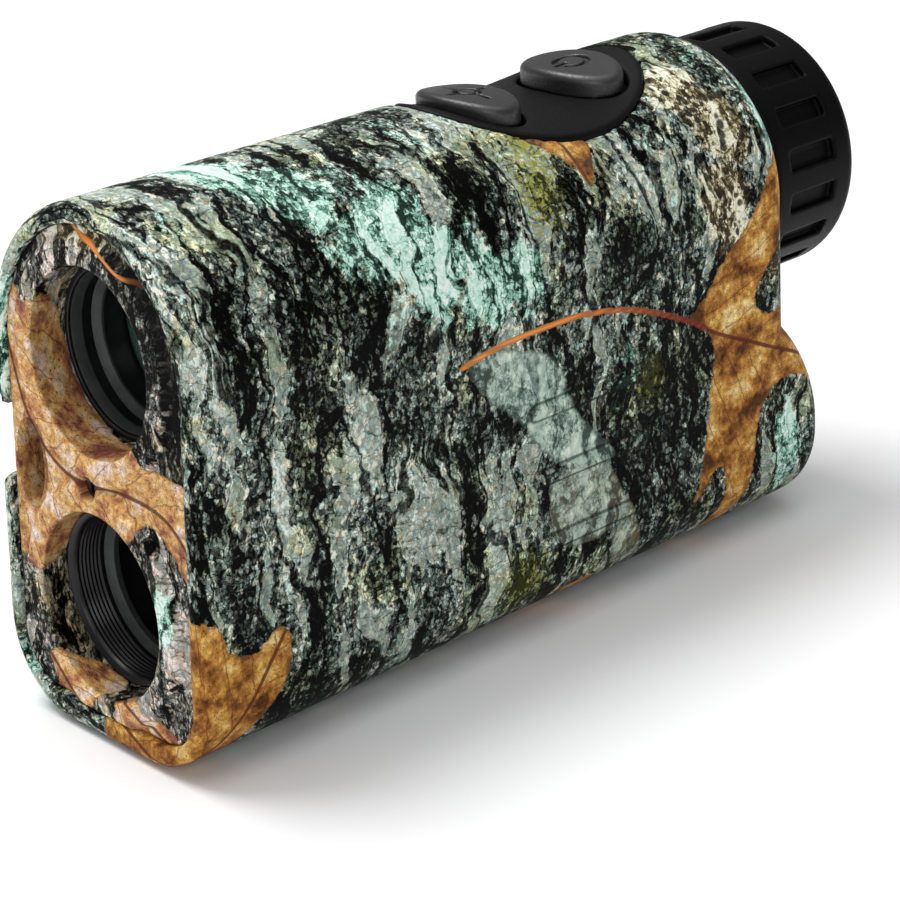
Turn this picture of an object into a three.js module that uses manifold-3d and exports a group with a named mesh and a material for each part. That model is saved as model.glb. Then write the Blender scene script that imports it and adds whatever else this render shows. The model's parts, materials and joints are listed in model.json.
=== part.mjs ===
// A handheld laser rangefinder: a tall moulded housing with a slanted front plate, a viewing
// objective above a laser window, a rubber keypad on top, a turning eyepiece and a battery well.
// Millimetres, +Z up, the front faces -Y. All lengths along Y are measured from the point where
// the objective's axis meets the front plane; the finished group is then moved so that the
// bottom centre of its box is the origin.
import * as THREE from 'three';
import { mergeVertices } from 'three/addons/utils/BufferGeometryUtils.js';
import Module from 'manifold-3d';

const wasm = await Module();
wasm.setup();

// ---------------------------------------------------------------- driving dimensions
const FIT = 0.3;                    // gap between pieces that touch in the real object

const HALF_WIDTH = 18.8;            // housing, outside
const TOP_CENTRE = 44.2;            // height of the centre of the round top
const CORNER = 11;                  // bottom corner radius, outside
const UPPER_REAR = 94;              // rear face under the eyepiece
const BLOCK_REAR = 101;             // rear face of the battery block
const BLOCK_TOP = 27.8;             // where the battery block meets the upper rear face
const FRONT_SLOPE = 0.07;           // how far the front plane leans back per unit of height
const RIM = 2.2;                    // side wall thickness
const FLOOR = 3.5;                  // bottom wall thickness
const FOOT_HEIGHT = 0.3;            // a raised flat along the underside that the housing stands on
const FOOT_HALF_WIDTH = 7.4;
const INNER_CORNER = 6.3;
const INNER_HALF = HALF_WIDTH - RIM;

const OBJECTIVE_Z = 45.4;           // axis of the objective
const EMITTER_Z = 16.8;             // axis of the laser window
const EYE_Z = 44.6;                 // axis of the eyepiece
const OBJECTIVE_HOLE = 10.9;        // aperture radii in the front plate
const EMITTER_HOLE = 11.1;
const PLATE_BACK = 3;               // back of the front plate
const COLLAR_BACK = 6;              // back of the two aperture collars
const PLATE_RECESS = 0.8;           // plate face lies this far behind the rim and the rings
const RING_WIDTH = 3.1;             // raised ring around each aperture

const PAD_Y = 66.3;                 // keypad centre
const PAD_HALF_LENGTH = 17;
const PAD_HALF_WIDTH = 12.6;
const PAD_LOW = 60.2;               // lowest point of the saddle between the keys
const PAD_DIP_RADIUS = 51.6;        // saddle radius along the housing
const PAD_CROWN_RADIUS = 43;        // saddle radius across the housing
const PAD_THICKNESS = 1.5;
const WELL_FLOOR = 56.9;            // underside of the keypad well
const KEY_Y = [57.7, 75.1];         // mode key, power key
const KEY_HALF_LENGTH = 7.7;
const KEY_HALF_WIDTH = 4.7;
const KEY_RISE = 2.4;               // key tops stand this far above the saddle's low point
const KEY_DIP_RADIUS = 120;         // key tops curve less than the saddle
const KEY_SKIRT = 0.4;              // and reach this far below it

const BATTERY_Z = 13.2;             // axis of the battery well
const BATTERY_RADIUS = 7.8;
const BATTERY_FRONT = 67.5;
const BATTERY_LENGTH = 27;
const CAP_RADIUS = 9.6;

const EYE_RING_RADIUS = 16.3;
const EYE_RING_FRONT = 94.7;
const EYE_RING_REAR = 110;
const POCKETS = 18;                 // grip pockets around the eyepiece ring

// ---------------------------------------------------------------- materials
const finish = (color, roughness, metalness = 0) =>
  new THREE.MeshStandardMaterial({ color, roughness, metalness });

const looks = {
  camo: () => finish(0x4a524c, 0.6),
  leaf: () => finish(0xa87838, 0.6),
  rubber: () => finish(0x191a1c, 0.65),
  anodised: () => finish(0x0d0e10, 0.35, 0.6),
  satin: () => finish(0x4c5054, 0.4, 0.8),
  glass: () => finish(0x1f4a3a, 0.05),
  clearGlass: () => finish(0xb8c8cc, 0.05),
  plastic: () => finish(0x202224, 0.6),
  board: () => finish(0x1d5a35, 0.5),
  steel: () => finish(0x8d9094, 0.35, 0.9),
  brass: () => finish(0xb59a55, 0.35, 0.9),
  jacket: () => finish(0x35506e, 0.4),
};

// ---------------------------------------------------------------- solids
function tidy(geometry) {
  geometry.deleteAttribute('normal');
  geometry.deleteAttribute('uv');
  const merged = mergeVertices(geometry, 1e-4);
  const corners = merged.index.array;
  const kept = [];
  for (let i = 0; i < corners.length; i += 3) {
    const [a, b, c] = [corners[i], corners[i + 1], corners[i + 2]];
    if (a !== b && b !== c && a !== c) kept.push(a, b, c);
  }
  merged.setIndex(kept);
  return merged;
}

function solid(geometry) {
  const clean = tidy(geometry);
  return new wasm.Manifold(new wasm.Mesh({
    numProp: 3,
    vertProperties: new Float32Array(clean.attributes.position.array),
    triVerts: new Uint32Array(clean.index.array),
  }));
}

function geometryOf(manifold) {
  const mesh = manifold.getMesh();
  const geometry = new THREE.BufferGeometry();
  geometry.setAttribute('position', new THREE.BufferAttribute(mesh.vertProperties, 3));
  geometry.setIndex(new THREE.BufferAttribute(mesh.triVerts, 1));
  geometry.computeVertexNormals();
  return geometry;
}

const object = new THREE.Group();

function piece(name, manifold, material) {
  const mesh = new THREE.Mesh(geometryOf(manifold), material());
  mesh.name = name;
  object.add(mesh);
}

// A shape drawn in X and Z, pushed along Y from y0 to y1.
function alongY(shape, y0, y1, curveSegments = 12) {
  const geometry = new THREE.ExtrudeGeometry(shape, { depth: y1 - y0, bevelEnabled: false, curveSegments });
  return solid(geometry.rotateX(Math.PI / 2).translate(0, y1, 0));
}

// A shape drawn in Y and Z, pushed along X from x0 to x1.
function alongX(shape, x0, x1, curveSegments = 8) {
  const geometry = new THREE.ExtrudeGeometry(shape, { depth: x1 - x0, bevelEnabled: false, curveSegments });
  const turn = new THREE.Matrix4().makeBasis(
    new THREE.Vector3(0, 1, 0), new THREE.Vector3(0, 0, 1), new THREE.Vector3(1, 0, 0));
  return solid(geometry.applyMatrix4(turn).translate(x0, 0, 0));
}

// A shape drawn in X and Y, pushed along Z from z0 to z1.
function alongZ(shape, z0, z1, curveSegments = 12) {
  const geometry = new THREE.ExtrudeGeometry(shape, { depth: z1 - z0, bevelEnabled: false, curveSegments });
  return solid(geometry.translate(0, 0, z0));
}

function box(x0, x1, y0, y1, z0, z1) {
  const geometry = new THREE.BoxGeometry(x1 - x0, y1 - y0, z1 - z0);
  return solid(geometry.translate((x0 + x1) / 2, (y0 + y1) / 2, (z0 + z1) / 2));
}

// A profile of [radius, y] points turned around an axis parallel to Y.
function turned(profile, axisZ, segments = 40, axisX = 0) {
  const points = profile.map(([radius, y]) => new THREE.Vector2(radius, y));
  const geometry = new THREE.LatheGeometry(points, segments);
  return solid(geometry.translate(axisX, 0, axisZ));
}

const disc = (radius, y0, y1, axisZ, segments = 32, axisX = 0) =>
  turned([[0, y0], [radius, y0], [radius, y1], [0, y1]], axisZ, segments, axisX);

const tube = (inner, outer, y0, y1, axisZ, segments = 32, axisX = 0) =>
  turned([[inner, y0], [outer, y0], [outer, y1], [inner, y1], [inner, y0]], axisZ, segments, axisX);

// A round bar standing along Z.
function post(radius, x, y, z0, z1, segments = 24) {
  const geometry = new THREE.CylinderGeometry(radius, radius, z1 - z0, segments);
  return solid(geometry.rotateX(Math.PI / 2).translate(x, y, (z0 + z1) / 2));
}

// ---------------------------------------------------------------- outlines
// The housing's section: a round top, straight sides and rounded bottom corners.
function sectionShape(half, bottom, corner) {
  const shape = new THREE.Shape();
  shape.moveTo(half, TOP_CENTRE);
  shape.absarc(0, TOP_CENTRE, half, 0, Math.PI, false);
  shape.lineTo(-half, bottom + corner);
  shape.absarc(-half + corner, bottom + corner, corner, Math.PI, 1.5 * Math.PI, false);
  shape.lineTo(half - corner, bottom);
  shape.absarc(half - corner, bottom + corner, corner, 1.5 * Math.PI, 2 * Math.PI, false);
  return shape;
}

// A plan outline with small front corners and larger rear corners.
function planShape(half, front, rear, frontCorner, rearCorner) {
  const shape = new THREE.Shape();
  shape.moveTo(-half + frontCorner, front);
  shape.lineTo(half - frontCorner, front);
  shape.quadraticCurveTo(half, front, half, front + frontCorner);
  shape.lineTo(half, rear - rearCorner);
  shape.absarc(half - rearCorner, rear - rearCorner, rearCorner, 0, Math.PI / 2, false);
  shape.lineTo(-half + rearCorner, rear);
  shape.absarc(-half + rearCorner, rear - rearCorner, rearCorner, Math.PI / 2, Math.PI, false);
  shape.lineTo(-half, front + frontCorner);
  shape.quadraticCurveTo(-half, front, -half + frontCorner, front);
  return shape;
}

const frontAt = (z) => FRONT_SLOPE * (z - OBJECTIVE_Z);

// The upper body from the side, with the slanted front and a rounded top rear edge.
function upperSide(front, rear, bottom, top, corner) {
  const shape = new THREE.Shape();
  shape.moveTo(frontAt(bottom) + front, bottom);
  shape.lineTo(rear, bottom);
  shape.lineTo(rear, top - corner);
  shape.absarc(rear - corner, top - corner, corner, 0, Math.PI / 2, false);
  shape.lineTo(frontAt(top) + front, top);
  return shape;
}

// The battery block from the side: a rounded shoulder, a flat rear face, a rounded heel.
function blockSide(rear, top, bottom, heel) {
  const shape = new THREE.Shape();
  shape.moveTo(60, bottom);
  shape.lineTo(rear - heel, bottom);
  shape.absarc(rear - heel, bottom + heel, heel, 1.5 * Math.PI, 2 * Math.PI, false);
  shape.lineTo(rear, top - 12);
  shape.quadraticCurveTo(rear - 0.6, top - 4.5, UPPER_REAR, top);
  shape.lineTo(60, top);
  return shape;
}

// A slanted slab that takes everything in front of the front plane moved back by `offset`.
function aheadOfFront(offset) {
  const shape = new THREE.Shape();
  shape.moveTo(-30, -10);
  shape.lineTo(frontAt(-10) + offset, -10);
  shape.lineTo(frontAt(80) + offset, 80);
  shape.lineTo(-30, 80);
  return alongX(shape, -30, 30);
}

function ovalShape(cx, cy, a, b) {
  const shape = new THREE.Shape();
  shape.absellipse(cx, cy, a, b, 0, 2 * Math.PI, false);
  return shape;
}

// Everything above the saddle that the keypad follows, lowered by `drop`.
function aboveSaddle(drop, dipRadius = PAD_DIP_RADIUS) {
  const axisHeight = PAD_LOW + dipRadius;
  const steps = 6;
  const reach = 16;
  const profile = [new THREE.Vector2(0, -reach)];
  for (let i = 0; i <= steps; i += 1) {
    const x = -reach + (2 * reach * i) / steps;
    const fall = PAD_CROWN_RADIUS - Math.sqrt(PAD_CROWN_RADIUS ** 2 - x ** 2);
    profile.push(new THREE.Vector2(dipRadius + drop + fall, x));
  }
  profile.push(new THREE.Vector2(0, reach));
  const geometry = new THREE.LatheGeometry(profile, Math.round(1.8 * dipRadius));
  return solid(geometry.rotateZ(-Math.PI / 2).translate(0, PAD_Y, axisHeight));
}

// ---------------------------------------------------------------- housing
function bodyOutside() {
  const top = TOP_CENTRE + HALF_WIDTH;
  const section = alongY(sectionShape(HALF_WIDTH, FOOT_HEIGHT, CORNER), -10, BLOCK_REAR, 12);
  const upper = alongX(upperSide(0, UPPER_REAR, 0, top, 5), -20, 20)
    .intersect(alongZ(planShape(HALF_WIDTH, frontAt(0), UPPER_REAR, 2, 5), -1, 70, 6));
  const block = alongX(blockSide(BLOCK_REAR, BLOCK_TOP, 0, 8), -20, 20)
    .intersect(alongZ(planShape(HALF_WIDTH, 40, BLOCK_REAR, 2, 4), -1, 70, 6));
  return section.intersect(upper.add(block));
}

function bodyInside() {
  const section = alongY(sectionShape(INNER_HALF, FLOOR, INNER_CORNER), -12, BLOCK_REAR - RIM, 9);
  const upper = box(-20, 20, -12, UPPER_REAR - RIM, 0, 70);
  const block = alongX(blockSide(BLOCK_REAR - RIM, BLOCK_TOP - RIM, FLOOR, 6), -20, 20);
  const well = box(-20, 20, PAD_Y - 20, PAD_Y + 20, WELL_FLOOR, 70);
  return section.intersect(upper.add(block)).subtract(well);
}

const padBlank = (grow) => alongZ(ovalShape(0, PAD_Y, PAD_HALF_WIDTH + grow, PAD_HALF_LENGTH + grow), 50, 70, 15);

// Three pairs of low grip ribs along the +X side and the same on the -X side.
function gripRibs() {
  const ribs = [];
  for (const side of [-1, 1]) {
    for (const z of [29.3, 20.8, 12.2]) {
      const shape = new THREE.Shape();
      shape.moveTo(side * (HALF_WIDTH - 0.5), z - 1.1);
      shape.lineTo(side * (HALF_WIDTH + 0.3), z - 0.4);
      shape.lineTo(side * (HALF_WIDTH + 0.3), z + 0.4);
      shape.lineTo(side * (HALF_WIDTH - 0.5), z + 1.1);
      ribs.push(alongY(shape, 48, 67));
    }
  }
  return ribs;
}

function makeHousing() {
  const foot = box(-FOOT_HALF_WIDTH, FOOT_HALF_WIDTH, 2, 88, 0, 1);
  let shell = bodyOutside().add(foot).subtract(bodyInside());
  for (const rib of gripRibs()) {
    shell = shell.add(rib);
  }
  shell = shell.subtract(aboveSaddle(0).intersect(alongZ(ovalShape(0, PAD_Y, 14.2, 19), 50, 70, 16)));
  shell = shell.subtract(padBlank(FIT).intersect(aboveSaddle(PAD_THICKNESS + FIT)));
  for (const y of KEY_Y) {
    shell = shell.subtract(post(3, 0, y, 50, 62));
  }
  shell = shell.subtract(disc(13.5, UPPER_REAR - 5, UPPER_REAR + 2, EYE_Z));
  shell = shell.subtract(disc(10.5, BLOCK_REAR - 9, BLOCK_REAR + 2, BATTERY_Z));
  shell = shell.subtract(lanyardSlot());
  piece('main_housing', shell, looks.camo);
}

// The side opening that a wrist cord comes out of.
function lanyardSlot() {
  const shape = new THREE.Shape();
  shape.moveTo(-6, 27.4);
  shape.lineTo(6.5, 27.4);
  shape.quadraticCurveTo(8.5, 27.4, 8.5, 29.4);
  shape.lineTo(8.5, 35.4);
  shape.quadraticCurveTo(8.5, 37.4, 6.5, 37.4);
  shape.lineTo(-6, 37.4);
  return alongX(shape, -20, -16);
}

// ---------------------------------------------------------------- front plate
function makeBezel() {
  const outline = sectionShape(INNER_HALF - FIT, FLOOR + FIT, INNER_CORNER - FIT);
  let plate = alongY(outline, -10, PLATE_BACK, 10).subtract(aheadOfFront(PLATE_RECESS));
  const apertures = [[OBJECTIVE_Z, OBJECTIVE_HOLE], [EMITTER_Z, EMITTER_HOLE]];
  for (const [z, hole] of apertures) {
    const ring = disc(hole + RING_WIDTH, -10, COLLAR_BACK, z, 40).subtract(aheadOfFront(0));
    plate = plate.add(ring.intersect(alongY(outline, -10, COLLAR_BACK, 10)));
  }
  for (const [z, hole] of apertures) {
    const taper = [[0, -12], [hole + 0.6, -12], [hole, frontAt(z)], [hole - 0.9, COLLAR_BACK + 1], [0, COLLAR_BACK + 1]];
    plate = plate.subtract(turned(taper, z, 40));
  }
  plate = plate.subtract(disc(1.5, -10, 2, 30.6, 20, -1.2));
  plate = plate.subtract(disc(1.1, -10, 8, 30.6, 20, -1.2));
  plate = plate.subtract(alongY(ovalShape(-12.9, 30.4, 2.2, 4.6), -10, 8, 10));
  piece('front_bezel', plate, looks.leaf);
  const screw = disc(1.15, -0.1, 1.6, 30.6, 20, -1.2)
    .add(disc(0.75, 1, 8, 30.6, 16, -1.2))
    .subtract(box(-1.5, -0.9, -0.5, 0.4, 29.9, 31.3));
  piece('bezel_screw', screw, looks.anodised);
}

// A block behind the plate that turns the cord from the front opening out to the side.
function makeLanyardAnchor() {
  const block = box(-16.2, -9.6, PLATE_BACK + FIT, 10.4, 25.6, 38.4);
  const channel = post(5.6, -15.6, PLATE_BACK + FIT, 26.6, 37.4, 32);
  const clearance = disc(OBJECTIVE_HOLE + RING_WIDTH + FIT, 0, 6.3, OBJECTIVE_Z)
    .add(disc(12.7, 0, 40, OBJECTIVE_Z))
    .add(disc(EMITTER_HOLE + RING_WIDTH + FIT, 0, 6.3, EMITTER_Z))
    .add(disc(12.7, 0, 40, EMITTER_Z));
  piece('lanyard_anchor', block.subtract(channel).subtract(clearance), looks.plastic);
}

// ---------------------------------------------------------------- objective
function makeObjective() {
  const front = COLLAR_BACK + FIT;
  piece('objective_cell', turned([
    [10.2, front], [12.2, front], [12.2, 40], [7.2, 40], [7.2, 17.4], [9.5, 17.4], [9.5, 9], [10.2, 9], [10.2, front],
  ], OBJECTIVE_Z, 32), looks.anodised);
  piece('objective_retainer', turned([
    [8.9, front + 0.2], [9.9, front + 0.2], [9.9, 8.7], [9.2, 8.7], [9.2, 10.6], [8.4, 10.6], [8.9, front + 0.2],
  ], OBJECTIVE_Z, 28), looks.satin);
  piece('objective_inner_ring', turned([
    [8.2, 10.9], [9.2, 10.9], [9.2, 12.6], [7.8, 12.6], [8.2, 10.9],
  ], OBJECTIVE_Z, 28), looks.satin);
  piece('objective_lens', lens(9.2, 12.9, 17.1, 1.2, OBJECTIVE_Z), looks.glass);
}

// A lens with two bulging faces, turned around its axis.
function lens(radius, y0, y1, bulge, axisZ) {
  const profile = [[0, y0]];
  const steps = 3;
  for (let i = 1; i <= steps; i += 1) {
    const r = (radius * i) / steps;
    profile.push([r, y0 + bulge * (r / radius) ** 2]);
  }
  for (let i = steps; i >= 1; i -= 1) {
    const r = (radius * i) / steps;
    profile.push([r, y1 - bulge * (r / radius) ** 2]);
  }
  profile.push([0, y1]);
  return turned(profile, axisZ, 24);
}

// ---------------------------------------------------------------- laser emitter
function makeEmitter() {
  const front = COLLAR_BACK + FIT;
  const threads = 4;
  const pitch = 2;
  const profile = [[12, front], [12, 36], [6.4, 36], [6.4, 23.4], [9.3, 23.4], [9.3, 16.6], [9.9, 16.6]];
  for (let i = threads; i > 0; i -= 1) {
    const y = front + 1 + pitch * i;
    profile.push([9.9, y], [9.5, y - pitch * 0.35], [9.5, y - pitch * 0.65]);
  }
  profile.push([9.9, front + 1], [9.9, front], [12, front]);
  piece('emitter_barrel', turned(profile, EMITTER_Z, 28), looks.anodised);
  piece('emitter_retainer', tube(7.6, 9, 16.9, 18.4, EMITTER_Z, 32), looks.satin);
  piece('emitter_lens', lens(9, 18.7, 23.1, 1.1, EMITTER_Z), looks.glass);
  piece('diode_holder', turned([
    [0, 36.3], [8, 36.3], [8, 44], [3.3, 44], [3.3, 38.6], [0, 38.6],
  ], EMITTER_Z, 32).subtract(disc(1.8, 30, 50, EMITTER_Z, 20)), looks.plastic);
  piece('laser_diode', disc(2.8, 39, 42.6, EMITTER_Z, 24), looks.brass);
}

// ---------------------------------------------------------------- optical chassis and prism
function makeChassis() {
  const outline = sectionShape(INNER_HALF - 0.6, FLOOR + 0.6, INNER_CORNER - 0.6);
  const wall = alongY(outline, 27, 30, 10);
  const shelf = box(-15.8, 15.8, 29, 80, 29.4, 31);
  let chassis = wall.add(shelf)
    .subtract(disc(12.5, 20, 50, OBJECTIVE_Z))
    .subtract(disc(12.3, 20, 50, EMITTER_Z));
  const screws = [[-12, 47], [12, 47], [-12, 73], [12, 73]];
  for (const [x, y] of screws) {
    chassis = chassis.subtract(post(1.3, x, y, 25, 33, 10));
  }
  piece('optical_chassis', chassis, looks.plastic);
  screws.forEach(([x, y], i) => {
    const screw = post(0.95, x, y, 28, 33.6, 8).add(post(1.8, x, y, 33.6, 34.8, 12));
    piece(`chassis_screw_${i + 1}`, screw.subtract(box(x - 1.3, x + 1.3, y - 0.25, y + 0.25, 34.3, 36)), looks.steel);
  });
  return screws;
}

function makePrism(screws) {
  let carrier = box(-14.2, 14.2, 45, 75, 31.3, 33.3)
    .add(box(-12.4, -10.6, 49, 71, 31.3, 52))
    .add(box(10.6, 12.4, 49, 71, 31.3, 52))
    .subtract(post(3.2, 0, 60, 30, 34, 24));
  for (const [x, y] of screws) {
    carrier = carrier.subtract(post(1.3, x, y, 30, 40, 10));
  }
  piece('prism_carrier', carrier, looks.plastic);
  const roof = new THREE.Shape();
  roof.moveTo(50, 34.5);
  roof.lineTo(70, 34.5);
  roof.lineTo(70, 46);
  roof.lineTo(63, 52.5);
  roof.lineTo(50, 52.5);
  piece('prism_block', alongX(roof, -10.2, 10.2), looks.clearGlass);
  piece('receiver_sensor', post(2.6, 0, 60, 31.2, 34.1, 24), looks.brass);
  const frame = box(-11.5, 11.5, 77, 80.5, 33.5, 51.8).subtract(box(-8.6, 8.6, 76, 82, 35.6, 49.8));
  piece('display_frame', frame, looks.plastic);
  piece('display_glass', box(-8.3, 8.3, 78, 79.4, 35.9, 49.5), looks.clearGlass);
}

// ---------------------------------------------------------------- electronics
function makeElectronics() {
  piece('main_pcb', box(-14, -12.4, 46, 90, 7.4, 25.2), looks.board);
  piece('processor_chip', box(-12.1, -10.5, 50, 60, 11, 21), looks.plastic);
  piece('pulse_capacitor', disc(4, 47, 61.5, 20, 24, 9.5), looks.jacket);
  const strip = new THREE.Shape();
  strip.moveTo(-13.6, 25.6);
  strip.lineTo(-13.2, 25.6);
  strip.lineTo(-15.2, 32.5);
  strip.lineTo(-15.2, 46);
  strip.quadraticCurveTo(-15.2, 51.6, -12.6, 51.6);
  strip.lineTo(-8, 51.6);
  strip.lineTo(-8, 52);
  strip.lineTo(-12.8, 52);
  strip.quadraticCurveTo(-15.6, 52, -15.6, 46);
  strip.lineTo(-15.6, 32.5);
  piece('flex_cable', alongY(strip, 81.2, 85.2, 6), looks.leaf);
}

// ---------------------------------------------------------------- keypad
function makeKeypad() {
  let pad = padBlank(0).intersect(aboveSaddle(PAD_THICKNESS)).subtract(aboveSaddle(0));
  for (const y of KEY_Y) {
    const moat = ovalShape(0, y, KEY_HALF_LENGTH + 0.5, KEY_HALF_WIDTH + 0.5);
    pad = pad.subtract(alongZ(moat, 50, 70, 16));
  }
  piece('keypad', pad, looks.rubber);
  const names = ['mode_button', 'power_button'];
  KEY_Y.forEach((y, i) => {
    const skirt = alongZ(ovalShape(0, y, KEY_HALF_LENGTH, KEY_HALF_WIDTH), 50, 70, 14)
      .intersect(aboveSaddle(KEY_SKIRT))
      .subtract(aboveSaddle(0.6 - KEY_RISE, KEY_DIP_RADIUS));
    const crown = alongZ(ovalShape(0, y, KEY_HALF_LENGTH - 0.7, KEY_HALF_WIDTH - 0.7), 50, 70, 14)
      .intersect(aboveSaddle(0))
      .subtract(aboveSaddle(-KEY_RISE, KEY_DIP_RADIUS));
    const stem = post(2.4, 0, y, 56.7, PAD_LOW + 0.6);
    piece(names[i], skirt.add(crown).add(stem), looks.rubber);
  });
  piece('key_pcb', box(-9.5, 9.5, 50, 84.5, 52.8, 54.2), looks.board);
  const switches = ['mode_switch', 'power_switch'];
  KEY_Y.forEach((y, i) => {
    const body = box(-2.5, 2.5, y - 2.5, y + 2.5, 54.5, 55.1).add(post(1.4, 0, y, 55, 55.5, 20));
    piece(switches[i], body, looks.steel);
  });
}

// ---------------------------------------------------------------- battery well
function makeBattery() {
  piece('battery_tube', turned([
    [0, 64.6], [9.2, 64.6], [9.2, 92.6], [10.2, 92.6], [10.2, 101.4], [9.05, 101.4], [9.05, 95.2],
    [8.2, 95.2], [8.2, 66.2], [0, 66.2],
  ], BATTERY_Z, 28), looks.plastic);
  piece('positive_contact', disc(5, 66.5, 67.1, BATTERY_Z, 28), looks.brass);
  const end = BATTERY_FRONT + BATTERY_LENGTH;
  piece('battery', turned([
    [0, BATTERY_FRONT], [3, BATTERY_FRONT], [3, BATTERY_FRONT + 1], [BATTERY_RADIUS - 0.6, BATTERY_FRONT + 1],
    [BATTERY_RADIUS, BATTERY_FRONT + 1.6], [BATTERY_RADIUS, end - 0.6], [BATTERY_RADIUS - 0.6, end], [0, end],
  ], BATTERY_Z, 24), looks.jacket);
  piece('contact_spring', contactSpring(end + 0.6), looks.brass);
  piece('cap_seal', torus(8.15, 0.5, 99.3), looks.rubber);
  const cap = turned([
    [6.2, 95.6], [8.6, 95.6], [8.6, 98.4], [7.3, 98.4], [7.3, 100.2], [8.6, 100.2], [8.6, 101.7],
    [CAP_RADIUS, 101.7], [CAP_RADIUS, 102.7], [CAP_RADIUS - 0.5, 103.2], [0, 103.2], [0, 98.8], [6.2, 98.8], [6.2, 95.6],
  ], BATTERY_Z, 28);
  piece('battery_cap', cap.subtract(box(-7, 7, 102, 104, BATTERY_Z - 0.9, BATTERY_Z + 0.9)), looks.plastic);
}

// A conical wire spring of three turns between the battery and its cap.
function contactSpring(y0) {
  const turns = 3;
  class Coil extends THREE.Curve {
    getPoint(t) {
      const angle = 2 * Math.PI * turns * t;
      const radius = 2.6 + 2.4 * t;
      return new THREE.Vector3(radius * Math.cos(angle), y0 + 2.6 * t, BATTERY_Z + radius * Math.sin(angle));
    }
  }
  const wire = new THREE.Shape();
  wire.absarc(0, 0, 0.3, 0, 2 * Math.PI, false);
  const options = { steps: 40, extrudePath: new Coil(), curveSegments: 3, bevelEnabled: false };
  return solid(new THREE.ExtrudeGeometry(wire, options));
}

function torus(radius, section, y) {
  const steps = 6;
  const profile = [];
  for (let i = 0; i <= steps; i += 1) {
    const angle = (2 * Math.PI * (i % steps)) / steps;
    profile.push([radius + section * Math.cos(angle), y + section * Math.sin(angle)]);
  }
  return turned(profile, BATTERY_Z, 24);
}

// ---------------------------------------------------------------- eyepiece
function makeEyepiece() {
  const wall = UPPER_REAR - RIM;
  piece('eyepiece_tube', turned([
    [11.6, 87], [14.6, 87], [14.6, wall - 1.4], [13.2, wall - 1.4], [13.2, 103], [11.6, 103], [11.6, 87],
  ], EYE_Z, 30), looks.anodised);
  piece('eyepiece_gasket', tube(13.6, 14.6, wall - 1.1, wall - 0.3, EYE_Z, 32), looks.rubber);
  piece('lens_carrier', turned([
    [9.6, 90], [11.2, 90], [11.2, 105], [8.4, 105], [8.4, 104], [9.6, 104], [9.6, 90],
  ], EYE_Z, 28), looks.anodised);
  piece('field_lens', lens(9.2, 92, 96.4, 1.2, EYE_Z), looks.clearGlass);
  piece('eye_lens', lens(9.2, 99, 103.6, 1.4, EYE_Z), looks.glass);
  makeEyeRing();
  piece('eyecup', turned([
    [9.3, 107.3], [11.2, 107.3], [11.5, 108.2], [11.5, 110.3], [10.6, 110.3], [9.3, 107.3],
  ], EYE_Z, 30), looks.rubber);
}

function makeEyeRing() {
  const edge = 1.6;
  const profile = [
    [13.6, EYE_RING_FRONT], [EYE_RING_RADIUS - 0.5, EYE_RING_FRONT], [EYE_RING_RADIUS, EYE_RING_FRONT + 0.5],
  ];
  const steps = 3;
  for (let i = 0; i <= steps; i += 1) {
    const angle = (Math.PI / 2) * (i / steps);
    const radius = EYE_RING_RADIUS - edge + edge * Math.cos(angle);
    profile.push([radius, EYE_RING_REAR - edge + edge * Math.sin(angle)]);
  }
  profile.push([11.9, EYE_RING_REAR], [11.9, 107], [13.6, 107], [13.6, EYE_RING_FRONT]);
  let ring = turned(profile, EYE_Z, 45);
  for (let i = 0; i < POCKETS; i += 1) {
    const pocket = new THREE.BoxGeometry(2.6, 7, 2);
    pocket.translate(0, 101.6, EYE_RING_RADIUS + 0.1);
    pocket.rotateY((2 * Math.PI * i) / POCKETS);
    ring = ring.subtract(solid(pocket.translate(0, 0, EYE_Z)));
  }
  piece('diopter_ring', ring, looks.rubber);
}

// ---------------------------------------------------------------- assembly
makeHousing();
makeBezel();
makeLanyardAnchor();
makeObjective();
makeEmitter();
makePrism(makeChassis());
makeElectronics();
makeKeypad();
makeBattery();
makeEyepiece();

const bounds = new THREE.Box3().setFromObject(object);
const centre = bounds.getCenter(new THREE.Vector3());
object.position.set(-centre.x, -centre.y, -bounds.min.z);

export default object;
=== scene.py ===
"""The looks of the handheld laser rangefinder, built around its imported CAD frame.

Shapes are written in millimetres as distance formulas: negative inside, zero on the surface. Lengths
along Y are measured from the point where the objective's axis meets the front plane.
"""

import json
import math

import bpy
import numpy as np
from mathutils import Matrix, Vector

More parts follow.
